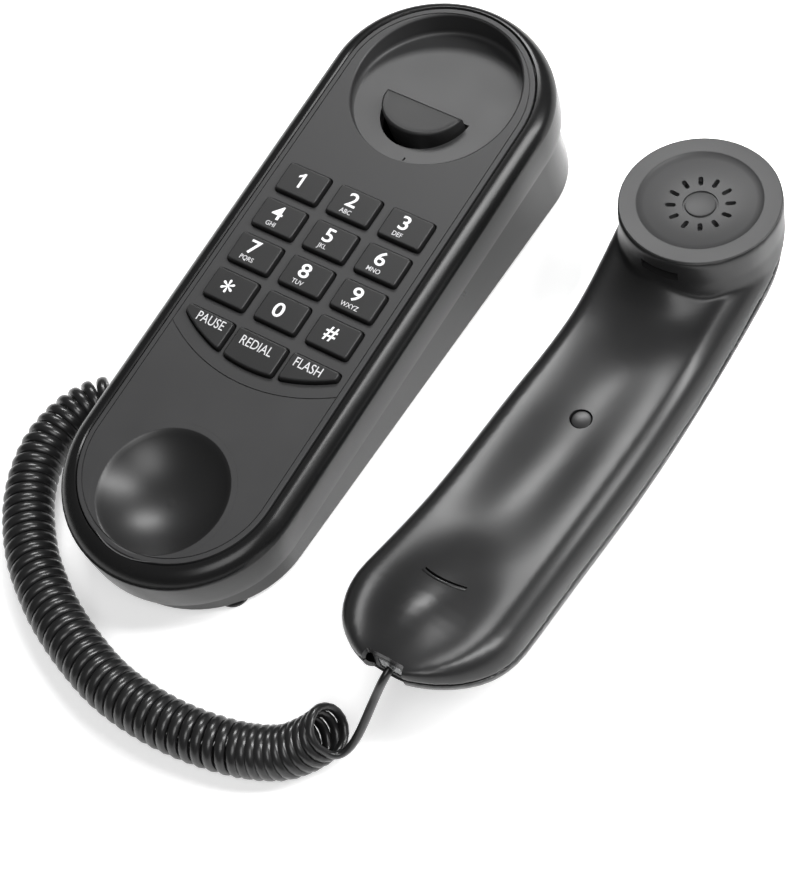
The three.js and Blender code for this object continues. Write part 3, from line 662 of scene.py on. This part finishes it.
def key_windows():
    """An opening for each key, slightly wider at the face."""
    heights = ((CLEARANCE, -4), (CLEARANCE, -0.18), (CLEARANCE + 0.2, 0.02), (CLEARANCE + 0.2, 1))
    return merged([loft([outline(grow, z) for grow, z in heights]) for outline in OUTLINES.values()])


def panel_arc():
    """The arched panel line under the function keys."""
    half_angle = math.degrees(math.asin(PANEL_ARC["half"] / PANEL_ARC["r"]))
    path = arc(0, FUNCTION_ROW["centre_y"], PANEL_ARC["r"], -90 - half_angle, -90 + half_angle, 48)
    return groove(path, closed=False)


def face_plate():
    plate = plate_blank()
    border = groove([p[:2] for p in oblong(inset(PLATE, 1.5), 0)], closed=True)
    opening = loft([hook_outline(HOOK_OPENING["grow"], HOOK_OPENING["arc_y"], z) for z in (-15, 5)])
    slit = block(*FACE_SLIT["x"], *FACE_SLIT["y"], -4, 1)
    cuts = [key_windows(), border, panel_arc(), mouth_bowl(), ear_recess(), opening, slit]
    combine(plate, "DIFFERENCE", *cuts, place=FACE)
    dress(plate, "base", FACE_GREY, ["face_plate"], sharp=30)
    # The bowl gets a glossier material whose darker grey is painted shade.
    gloss_and_shade_bowl(plate)


# ---- keys and their legends ----
LETTERS = {"2": "ABC", "3": "DEF", "4": "GHI", "5": "JKL", "6": "MNO", "7": "PQRS", "8": "TUV", "9": "WXYZ"}
SIGNS = {"star": "*", "hash": "#"}
DIGIT_SIZE = 6.0
STAR_SIZE = 9.0
LETTER_SIZE = 1.95
WORD_SIZE = 4.0
WORD_PLACES = {"pause": (1.2, -28.7), "redial": (-0.3, -29.6), "flash": (-1.3, -28.8)}
PRINT_THICK = 0.03
PRINT_Z = KEY["rise"] + 0.012


def key_cap(label, outline):
    """A key with a flange under the face and a rounded top edge."""
    rise, reach, top = KEY["rise"], KEY_FLANGE["reach"], KEY_FLANGE["top"]
    rings = [outline(reach, KEY_FLANGE["bottom"]), outline(reach, top), outline(0, top)]
    for i in range(5):
        a = math.radians(90 * i / 4)
        rings.append(outline(-KEY_EDGE * (1 - math.cos(a)), rise - KEY_EDGE * (1 - math.sin(a))))
    cap = mesh_object(f"cap_{label}", loft(rings), FACE)
    dress(cap, f"key_{label}", KEY_BLACK, [f"key_{label}"], sharp=50)


def printed(name, text, size, at, weight, stretch, body, material):
    """Lettering printed on a key: centred on a point of the face frame, a hair above the surface."""
    curve = bpy.data.curves.new(name, "FONT")
    curve.body = text
    curve.size = size
    curve.offset = weight
    curve.extrude = PRINT_THICK / 2
    curve.resolution_u = 4
    draft = new_object(name, curve)
    bpy.context.view_layer.update()
    mesh = bpy.data.meshes.new_from_object(draft)
    bpy.data.objects.remove(draft)
    xs = [v.co.x for v in mesh.vertices]
    ys = [v.co.y for v in mesh.vertices]
    middle = Vector(((min(xs) + max(xs)) / 2, (min(ys) + max(ys)) / 2, 0))
    for v in mesh.vertices:
        p = v.co - middle
        v.co = (FACE @ (Vector(at) + Vector((p.x * stretch, p.y, p.z)))) * MM
    thing = new_object(name, mesh)
    paint(thing, material)
    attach(thing, body)


def one_mark(x, y):
    """The figure 1, with a flag at its head."""
    stem = [(0.15, -2.3), (0.9, -2.3), (0.9, 2.3), (0.3, 2.3)]
    flag = [(-0.2, 1.75), (-1.0, 1.3), (-1.0, 0.6), (-0.4, 0.85), (0.15, 1.25)]
    heights = (PRINT_Z - PRINT_THICK / 2, PRINT_Z + PRINT_THICK / 2)
    shape = loft([[(x + a, y + b, h) for a, b in stem + flag] for h in heights])
    figure = mesh_object("digit_1", shape, FACE)
    paint(figure, LEGEND_WHITE)
    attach(figure, "key_1")


def dial_legend(label, x, y):
    """The sign on a dial key, and the letters under it."""
    body = f"key_{label}"
    size = STAR_SIZE if label == "star" else DIGIT_SIZE
    lift = 1.15 if label in LETTERS else 0.1
    wide = 1.0 if label in SIGNS else 1.18
    at = (x - 0.9, y + lift, PRINT_Z)
    printed(f"digit_{label}", SIGNS.get(label, label), size, at, 0.07, wide, body, LEGEND_WHITE)
    if label in LETTERS:
        at = (x - 1.0, y - 2.6, PRINT_Z)
        printed(f"letters_{label}", LETTERS[label], LETTER_SIZE, at, 0.01, 0.95, body, LETTER_GREY)


def keys():
    for label, outline in OUTLINES.items():
        key_cap(label, outline)
    for j, row in enumerate(DIAL_KEYS):
        for i, label in enumerate(row):
            x, y = key_place(i, j)
            if label == "1":
                one_mark(x - 0.9, y + 0.35)
            else:
                dial_legend(label, x, y)
    for label, (x0, x1) in FUNCTION_KEYS.items():
        shift, y = WORD_PLACES[label]
        at = ((x0 + x1) / 2 + shift, y, PRINT_Z)
        printed(f"word_{label}", label.upper(), WORD_SIZE, at, 0.0, 0.8, f"key_{label}", LETTER_GREY)


# ---- the hook switch ----
def hook_ring(back, drop):
    """The flap's outline drawn in by so much, and lowered from its top, which follows the recess's floor."""
    return hook_outline(-back, HOOK["arc_y"] + back, lambda y: ear_floor(y) + HOOK["rise"] - drop)


def hook_switch():
    """The flap, hollowed slightly on top, and its arm back to the pivot."""
    rings = [hook_ring(0, HOOK_SKIRT)]
    for i in range(6):
        a = math.radians(90 * i / 5)
        rings.append(hook_ring(HOOK_EDGE * (1 - math.cos(a)), HOOK_EDGE * (1 - math.sin(a))))
    rings.append(hook_ring(HOOK_HOLLOW["border"], HOOK_HOLLOW["depth"]))
    button = mesh_object("hook_button", loft(rings), FACE)
    y, z = HOOK["pivot_y"], HOOK["pivot_z"]
    half, front, thick = HOOK_ARM["half"], HOOK_ARM["front_y"], HOOK_ARM["half_thick"]
    stem_ends = (front + HOOK_NUDGE, HOOK_ARM["stem_back_y"], z - thick + HOOK_NUDGE, HOOK_ARM["stem_top"])
    stem = block(-half + HOOK_NUDGE, half - HOOK_NUDGE, *stem_ends)
    arm = block(-half, half, front, y, z - thick, z + thick)
    hub_end = arc(y, z, HUB_R, 0, 360, 32)[:-1]
    hub = loft([[(x, py, pz) for py, pz in hub_end] for x in (-half - HOOK_NUDGE, half + HOOK_NUDGE)])
    combine(button, "UNION", stem, arm, hub, place=FACE)
    dress(button, "hook_switch", HOOK_BLACK, ["hook_switch"])


def spring_path(centre, radius, low, high):
    """A helix from one height to another, whose end turns lie closed on themselves."""
    wire, ends, turns = HOOK_SPRING["wire"], HOOK_SPRING["ground_turns"], HOOK_SPRING["turns"]
    bottom, top = low + wire / 2, high - wire / 2 - 2 * ends * wire
    steps = 20
    path = []
    for i in range(turns * steps + 1):
        turn = i / steps
        climb = min(max((turn - ends) / (turns - 2 * ends), 0), 1)
        closing = wire * (min(turn, ends) + max(turn - turns + ends, 0))
        a = 2 * math.pi * turn
        z = bottom + (top - bottom) * climb + closing
        path.append(Vector((centre.x + radius * math.cos(a), centre.y + radius * math.sin(a), z)))
    return path


def hook_spring():
    """The return spring under the hook switch."""
    low, high = (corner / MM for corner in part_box("hook_spring"))
    centre = (low + high) / 2
    wire = HOOK_SPRING["wire"]
    path = spring_path(centre, (high.x - low.x - wire) / 2, low.z, high.z)
    spring = mesh_object("return_spring", ribbon_tube(path, [None] * len(path), (wire, wire), 10), LEVEL)
    dress(spring, "base", STEEL, ["hook_spring"])
    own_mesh(spring)


# ---- the handset ----
def along(*points):
    """A smooth curve along the handset through a few (y, value) points."""

    def slope(i):
        (ya, va), (yb, vb) = points[max(i - 1, 0)], points[min(i + 1, len(points) - 1)]
        return (vb - va) / (yb - ya)

    def value(y):
        i = 0
        while i < len(points) - 2 and points[i + 1][0] < y:
            i += 1
        (y0, v0), (y1, v1) = points[i], points[i + 1]
        h = y1 - y0
        t = min(max((y - y0) / h, 0), 1)
        u = 1 - t
        level_part = v0 * (1 + 2 * t) * u * u + v1 * t * t * (3 - 2 * t)
        return level_part + h * (slope(i) * t * u * u - slope(i + 1) * t * t * u)

    return value


MOUTH_END, CUP_Y, EAR_END = HAND["mouth_end"], HAND["ear"], HAND["ear_end"]
half_width = along(
    (MOUTH_END, 24.6), (-70, 24.6), (-35, 23), (0, 22.8), (35, 21.9), (CUP_Y, 22.8), (EAR_END, 22.4)
)
seam_z = along(
    (MOUTH_END, 33), (-70, 25.3), (-35, 17.6), (0, 13.6), (35, 12.8), (CUP_Y, 22.9), (EAR_END, 31)
)
back_z = along(
    (MOUTH_END, 22.4), (-70, 13.5), (-35, 3.2), (5, 0.3), (35, 2), (CUP_Y, 7.4), (EAR_END, 13.6)
)
rail_z = along(
    (MOUTH_END, 40), (-70, 34.2), (-35, 26.6), (0, 22.8), (30, 21.8), (50, 26), (CUP_Y, 31), (EAR_END, 34.5)
)
floor_z = along(
    (MOUTH_END, 40), (-70, 38.2), (-58, 34.5), (-38, 26), (-18, 21.9), (4, 20.4),
    (24, 20.3), (38, 24.5), (48, 31), (CUP_Y, 32), (EAR_END, 34.5),
)
RAIL_AT = 0.7


def end_scale(y):
    """How far the section has grown from nothing at the handset's rounded ends, up to 1."""

    def reach(d, r):
        return math.sqrt(max(0.0, 1 - (1 - min(1.0, d / r)) ** 2))

    return reach(y - MOUTH_END, HAND["mouth_round"]) * reach(EAR_END - y, HAND["ear_round"])


def channel_z(y, u):
    """Height of the drawn top, from -1 to 1 across: rails at the sides and a channel between them."""
    crest, v = rail_z(y), abs(u)
    if v > RAIL_AT:
        t = (v - RAIL_AT) / (1 - RAIL_AT)
        return seam_z(y) + (crest - seam_z(y)) * math.sqrt(max(0.0, 1 - t * t))
    return crest + (floor_z(y) - crest) * (0.5 + 0.5 * math.cos(math.pi * v / RAIL_AT))


def top_z(y, u):
    """Height of the handset's top, which falls to the seam at its rounded ends."""
    return seam_z(y) + (channel_z(y, u) - seam_z(y)) * end_scale(y) ** HAND_END_FALL


def bottom_z(y, u):
    """Height of the handset's back, a flattened arch that rises to the seam at the rounded ends."""
    arch = math.sin(math.acos(max(-1, min(1, u)))) ** 0.9
    return seam_z(y) - (seam_z(y) - back_z(y)) * end_scale(y) ** HAND_END_FALL * arch


def stations():
    """Places along the handset where its section is drawn, closer together in the rounded ends."""
    start, end = MOUTH_END + HAND["mouth_round"], EAR_END - HAND["ear_round"]
    angles = [math.radians(a) for a in (3, 7, 12, 18, 24, 30, 36, 43, 50, 58, 66, 74, 82)]
    middle = [start + (end - start) * i / 90 for i in range(91)]
    ends = [end + HAND["ear_round"] * math.cos(a) for a in reversed(angles)]
    return [start - HAND["mouth_round"] * math.cos(a) for a in angles] + middle + ends


ACROSS = 48
SHELL_VOXEL = 0.55


def half_shell(upper, wall, seam):
    """One half of the handset, shrunk by a wall, with its flat side at a height above the seam line."""
    rings = []
    for y in stations():
        w = max(half_width(y) * end_scale(y) - wall, 0.6)
        line = seam_z(y) + seam
        points = []
        for i in range(ACROSS + 1):
            u = math.cos(math.pi * i / ACROSS)
            if upper:
                points.append((w * u, y, max(top_z(y, u) - wall, line + 0.15)))
            else:
                points.append((-w * u, y, min(bottom_z(y, u) + wall, line - 0.15)))
        edge = -w if upper else w
        points += [(edge, y, line), (-edge, y, line)]
        rings.append(points)
    return loft(rings[::-1])


def soften(thing, rounds):
    """Remeshes a solid evenly and eases its creases, as a mould's small radii do."""
    remesh = thing.modifiers.new("even mesh", "REMESH")
    remesh.mode = "VOXEL"
    remesh.voxel_size = SHELL_VOXEL * MM
    smooth = thing.modifiers.new("ease", "SMOOTH")
    smooth.factor = 0.5
    smooth.iterations = rounds
    apply_modifiers(thing)


def jack_space():
    """The opening for the cord's jack, flared at its mouth because the end of the handset is round."""
    w, h, z = JACK["w"] / 2 + GAP, JACK["h"] / 2 + GAP, END_JACK["z"]
    rings = []
    back = END_JACK["mouth"] + JACK["depth"] + GAP
    for y, flare, above in ((back, 0, 0), (-83.2, 0, 0), (-83.4, 0.5, 9), (-88.5, 1.6, 12)):
        x, up, down = w + flare, h + above, h + flare
        rings.append([(-x, y, z - down), (x, y, z - down), (x, y, z + up), (-x, y, z + up)])
    return loft(rings)


def slit_curve():
    """Points along the microphone slit, which bows towards the mouth end."""
    xs = [MIC_SLIT["half"] * (i - 6) / 6 for i in range(13)]
    return [(x, MIC_SLIT["y"] + MIC_SLIT["sag"] * (x / MIC_SLIT["half"]) ** 2) for x in xs]


def mic_slit():
    """A short curved slit for the microphone, slimmer at its ends."""
    rings = []
    for x, y in slit_curve():
        w = 0.2 + 0.25 * math.sqrt(max(0, 1 - (x / 6.8) ** 2))
        rings.append([(x, y - w, 24), (x, y + w, 24), (x, y + w, 45), (x, y - w, 45)])
    return loft(rings)


def mic_lip():
    """A slim raised lip along the mouth side of the slit."""
    path = []
    for x, slit_y in slit_curve():
        y = slit_y - 0.75
        path.append(Vector((x, y, top_z(y, x / half_width(y)) - 0.1)))
    return ribbon_tube(path, [Vector((0, 1, 0))] * len(path), (1.0, 0.9), 10)


def neck_slot():
    """The hanging slot under the rim of the earpiece."""
    return block(*NECK_SLOT["x"], *NECK_SLOT["y"], *NECK_SLOT["z"])


def ear_cup():
    """The round housing of the earpiece, cut off at the seam."""
    r = CUP["r"]
    outside = turned([(r + 0.6, -14), (r, -8), (r, -0.9), (r - 0.25, -0.35), (r - 0.7, 0)], 96)
    cup = mesh_object("cup", outside, CUP_FRAME)
    below = []
    for y in (100, EAR_END, 80, CUP_Y, 60, 50, 40):
        z = seam_z(min(y, EAR_END)) + GAP / 2
        below.append([(30, y, z), (-30, y, z), (-30, y, -10), (30, y, -10)])
    combine(cup, "DIFFERENCE", loft(below), place=HANDSET)
    return cup


def cap_seat():
    """The seat of the earpiece cap, wider at its mouth."""
    r = CUP["cap_r"]
    return turned([(r + 0.15, -3.6), (r + 0.15, -0.25), (r + 0.5, 0.3), (r + 0.5, 3)], 96)


def plug_well():
    """The well of the screw plug in the channel, wider at its mouth."""
    r = SCREW_COVER["r"]
    profile = [(r + 0.28, 18.1), (r + 0.28, 20.35), (r + 0.75, 21.2), (r + 0.75, 30)]
    return turned(profile, 48, y=SCREW_COVER["y"])


def front_shell():
    """The half with the channel and the earpiece, hollow, with its openings."""
    shell = mesh_object("handset_front", half_shell(True, 0, GAP / 2), HANDSET)
    use_tool(shell, "UNION", ear_cup())
    soften(shell, 10)
    combine(shell, "DIFFERENCE", half_shell(True, HAND_WALL + 0.4, -2), place=HANDSET)
    bore = turned([(CUP["bore_r"], -40), (CUP["bore_r"], 1)])
    combine(shell, "DIFFERENCE", cap_seat(), bore, place=CUP_FRAME)
    combine(shell, "UNION", mic_lip(), place=HANDSET)
    combine(shell, "DIFFERENCE", mic_slit(), neck_slot(), plug_well(), jack_space(), place=HANDSET)
    dress(shell, "handset", HANDSET_BLACK, ["handset_front_shell"], sharp=40)


def back_shell():
    shell = mesh_object("handset_back", half_shell(False, 0, -GAP / 2), HANDSET)
    soften(shell, 8)
    combine(shell, "DIFFERENCE", half_shell(False, HAND_WALL, 2), jack_space(), place=HANDSET)
    dress(shell, "handset", HANDSET_BLACK, ["handset_back_shell"], sharp=40)


def sound_slots():
    """The ring of small oblong sound holes, with round ends."""
    s = SOUND_SLOTS
    right = arc(s["half_straight"], 0, s["end_r"], -90, 90, 9)
    outline = right + [(-x, -y) for x, y in right]
    slots = []
    for i in range(s["count"]):
        turn = Matrix.Rotation(2 * math.pi * i / s["count"], 4, "Z")
        vertices, faces = loft([[(s["r"] + x, y, z) for x, y in outline] for z in (-6, 2)])
        slots.append(([tuple(turn @ Vector(v)) for v in vertices], faces))
    return merged(slots)


def cap_profile():
    """The cap's section: a flange over the cup's edge, a hollow, and a raised ring in its middle."""
    e = EAR_CAP
    top = e["flange"]
    profile = [(0.5, -e["thick"]), (CUP["cap_r"], -e["thick"]), (CUP["cap_r"], 0.04), (e["edge_r"], 0.04)]
    profile += arc(e["edge_r"] - 0.35, top - 0.35, 0.35, 0, 90, 4)
    profile += [(e["dish_r"] + 0.5, top), (e["dish_r"], top - 0.1), (e["dish_r"] - 0.4, top - 0.45)]
    for i in range(1, 9):
        t = i / 8
        r = (e["dish_r"] - 0.4) * (1 - t) + (e["ring_r"] + 0.4) * t
        profile.append((r, top - 0.45 - (e["dish_depth"] - 0.45) * math.sin(t * math.pi / 2)))
    z = top - e["dish_depth"]
    for inward, rise in ((-0.25, -0.4), (0.1, -0.4), (0.3, 0.1), (0.8, 0.2)):
        profile.append((e["ring_r"] - inward, z + rise))
    return profile + [(0.5, z + 0.25)]


def ear_cap():
    cap = mesh_object("earpiece_cap", turned(cap_profile(), 128), CUP_FRAME)
    combine(cap, "DIFFERENCE", sound_slots(), place=CUP_FRAME)
    dress(cap, "handset", CAP_BLACK, ["ear_cap"], sharp=35)


def screw_cover():
    """The plug over the handset's screw, low in its well."""
    r = SCREW_COVER["r"]
    profile = [(r, SCREW_COVER["bottom"]), (r, 19.75), (r - 0.12, 19.95), (r - 0.4, 20.05), (0.3, 20.1)]
    cover = mesh_object("channel_plug", turned(profile, 48, y=SCREW_COVER["y"]), HANDSET)
    dress(cover, "handset", HANDSET_BLACK, ["screw_cover"])


# ---- the cord ----
# The coil's axis is a route on the table that lifts at its end; its turns are counted back from there.
COIL_Z = COIL_D / 2 + 0.1
COIL_ON_TABLE = [
    (-78.9, -44.9), (-82, -47.6), (-84.5, -52), (-86, -57.5), (-86.2, -65.5), (-84.2, -73.4), (-80.6, -81),
    (-75.8, -87.8), (-67.6, -96.4), (-57.4, -103.8), (-48.4, -108.8), (-38.5, -113), (-28, -116.4),
    (-18.5, -118), (-8.2, -118.5), (1.7, -117.8), (11.3, -116.1), (19.3, -113.6), (25.6, -110.2),
]
COIL_LIFTED_END = [(29.8, -106, 8.3), (32.4, -102.6, 9.8), (33.9, -100.2, 11.4)]
BASE_EXIT = Vector((-72.65, -44.55, 9))
BASE_EXIT_WAY = Vector((-2.25, 0, 0.2))
HANDSET_LEAD = [
    (42.1, -98, 13), (43.1, -94.8, 17.6), (44.2, -91.4, 22.4), (45.2, -88.6, 26.4), (46.2, -85.1, 29.5)
]
COIL_START_PHASE = 100
END_AXIS = Vector((0.79, 0.155, 0.585)).normalized()
TURN_POINTS = 24
PITCH = 3.25
END_PITCH = 2.5
TIGHT_END = 26.0
END_BEND_TURNS = 10
END_PHASE = math.radians(-10)
START_SLIM = 0.95
START_SLIM_TURNS = 16


def smooth_path(points, step):
    """Points a set distance apart along the smooth curve through the given ones."""
    points = [Vector(p) for p in points]
    dense = []
    for i in range(len(points) - 1):
        p0, p1 = points[max(i - 1, 0)], points[i]
        p2, p3 = points[i + 1], points[min(i + 2, len(points) - 1)]
        for k in range(24):
            t = k / 24
            dense.append(0.5 * ((2 * p1) + (p2 - p0) * t + (2 * p0 - 5 * p1 + 4 * p2 - p3) * t * t
                                + (3 * p1 - p0 - 3 * p2 + p3) * t**3))
    dense.append(points[-1])
    out, left = [dense[0]], step
    for a, b in zip(dense, dense[1:]):
        length = (b - a).length
        while length >= left:
            a = a + (b - a) * (left / length)
            out.append(a)
            length -= left
            left = step
        left -= length
    return out


def coil_turns():
    """Points round the coil from the base to the handset, each with the coil's axis and its angle there."""
    centre = smooth_path([(x, y, COIL_Z) for x, y in COIL_ON_TABLE] + COIL_LIFTED_END, PITCH / TURN_POINTS)
    n = len(centre)
    tight = TIGHT_END / END_PITCH
    full = (COIL_D - CORD_SECTION[1]) / 2
    points, axes, phases = [], [], []
    for i, c in enumerate(centre):
        tangent = (centre[min(i + 3, n - 1)] - centre[max(i - 3, 0)]).normalized()
        done = i / TURN_POINTS
        left = (n - 1 - i) * PITCH / TURN_POINTS
        turns_left = left / END_PITCH if left < TIGHT_END else tight + (left - TIGHT_END) / PITCH
        axis = tangent.lerp(END_AXIS, max(0.0, 1 - turns_left / END_BEND_TURNS)).normalized()
        side = axis.cross(Vector((0, 0, 1))).normalized()
        up = side.cross(axis)
        slim = START_SLIM * max(0.0, 1 - done / START_SLIM_TURNS)
        radius = full - slim
        angle = END_PHASE + 2 * math.pi * turns_left
        points.append(c - Vector((0, 0, slim)) + (side * math.cos(angle) + up * math.sin(angle)) * radius)
        axes.append(axis)
        phases.append(math.degrees(angle))
    return points, axes, phases


def bridge(start, start_way, end, end_way, ease=0.45, step=0.4):
    """An even curve from one point and direction to another, without its last point."""
    reach = (end - start).length * ease
    a, b = start + start_way.normalized() * reach, end - end_way.normalized() * reach
    count = max(4, round((end - start).length / step))
    curve = []
    for i in range(count):
        t = i / count
        u = 1 - t
        curve.append(start * u**3 + a * 3 * u * u * t + b * 3 * u * t * t + end * t**3)
    return curve


def cord_path():
    """The cord's centreline, and the way its flat side faces at each point."""
    coil, axes, phases = coil_turns()

    def from_start(phase):
        return abs((phase - COIL_START_PHASE + 180) % 360 - 180)

    first = next(i for i, phase in enumerate(phases) if from_start(phase) < 10)
    coil, axes = coil[first:], axes[first:]
    start = bridge(BASE_EXIT, BASE_EXIT_WAY, coil[0], coil[1] - coil[0])
    lead = [Vector(p) for p in HANDSET_LEAD]
    end = bridge(coil[-1], coil[-1] - coil[-2], lead[1], lead[2] - lead[1], ease=0.5)[1:]
    end += bridge(lead[1], lead[2] - lead[0], lead[2], lead[3] - lead[2])
    end += bridge(lead[2], lead[3] - lead[2], lead[-1], Vector((0, 1, 0.1)), ease=0.4)
    end.append(lead[-1])
    return start + coil + end, [axes[0]] * len(start) + axes + [None] * len(end)


def ribbon_tube(path, across, section, sides):
    """A flattened tube along a path. Its wide way follows `across`, and turns least where that is None."""
    rings = []
    n = len(path)
    wide = None
    for i, p in enumerate(path):
        ahead = (path[min(i + 1, n - 1)] - path[max(i - 1, 0)]).normalized()
        wide = across[i] or wide or ahead.orthogonal()
        wide = (wide - ahead * wide.dot(ahead)).normalized()
        thin = ahead.cross(wide)
        angles = [2 * math.pi * k / sides for k in range(sides)]
        rings.append([p + wide * (math.cos(a) * section[0] / 2) + thin * (math.sin(a) * section[1] / 2)
                      for a in angles])
    return loft(rings)


def cord():
    """The whole free cord."""
    path, across = cord_path()
    flex = mesh_object("curly_cord", ribbon_tube(path, across, CORD_SECTION, 12), LEVEL)
    for polygon in flex.data.polygons:
        polygon.use_smooth = True
    paint(flex, CORD_BLACK)
    length = sum((b - a).length for a, b in zip(path, path[1:]))
    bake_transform(flex)
    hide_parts("cord_base_lead", "cord_coil", "cord_handset_lead")
    [p * MM for p in path]


# ---- the CAD pieces that show as they are ----
CAD_LOOKS = {
    "knob_plastic": KNOB_BLACK,
    "case_plastic": CASE_BLACK,
    "connector_plastic": JACK_BLACK,
    "clear_plastic": CLEAR,
    "steel": STEEL,
    "brass": BRASS,
    "circuit_board": BOARD_GREEN,
    "rubber": RUBBER_BLACK,
}
EASED = (
    "ringer_volume_knob", "dial_mode_knob", "cord_base_plug", "cord_handset_plug",
    "handset_cord_jack", "line_jack", "handset_jack",
)
EASED_BY = 0.18


def dress_cad_pieces():
    """Gives the CAD nodes their materials by slot, and eases the edges of those that show."""
    for row in frame["record"]["subparts"]:
        material = CAD_LOOKS.get(row["material_slot"])
        if material:
            thing = frame["nodes"][row["node"]]
            paint(thing, material)
    for name in EASED:
        bevel = frame["nodes"][name].modifiers.new("eased edges", "BEVEL")
        bevel.width = EASED_BY * MM
        bevel.segments = 2
        bevel.limit_method = "ANGLE"


# ---- floor and light ----
FLOOR_HALF = 2500


def add_floor():
    """A plain, pale, glossy floor that glows a little, so that it stays near white."""
    slab = block(-FLOOR_HALF, FLOOR_HALF, -FLOOR_HALF, FLOOR_HALF, -0.4, 0)
    floor = mesh_object("floor", slab, LEVEL)
    material = bpy.data.materials.new("white_floor")
    material.use_nodes = True
    finish = {"Base Color": (0.93, 0.93, 0.93, 1), "Roughness": 0.12, "Specular IOR Level": 0.6}
    glow = {"Emission Color": (1, 1, 1, 1), "Emission Strength": 0.42}
    set_inputs(material.node_tree.nodes["Principled BSDF"], {**finish, **glow})
    paint(floor, material)


def add_light(name, at, size, power, aim=(0, -0.02, 0.02)):
    data = bpy.data.lights.new(name, "AREA")
    data.shape = "RECTANGLE"
    data.size, data.size_y = size
    data.energy = power
    light = new_object(name, data)
    light.location = at
    light.rotation_euler = (Vector(aim) - Vector(at)).to_track_quat("-Z", "Y").to_euler()


def add_world():
    world = bpy.context.scene.world = bpy.data.worlds.new("studio")
    world.use_nodes = True
    set_inputs(world.node_tree.nodes["Background"], {"Color": (1, 1, 1, 1), "Strength": 0.1})


cord()
upper_case()
bottom_cover()
rubber_feet()
face_plate()
keys()
hook_switch()
hook_spring()
front_shell()
back_shell()
ear_cap()
screw_cover()
dress_cad_pieces()
add_floor()
add_light("right_softbox", (0.85, 0.5, 1.1), (0.28, 1.2), 20)
add_light("overhead", (0.55, -0.65, 1.3), (0.8, 0.8), 9)
add_light("far_softbox", (-0.45, 0.72, 1.0), (0.55, 0.3), 9, (-0.04, 0.08, 0.03))
add_world()
bpy.context.scene.view_settings.view_transform = "Standard"
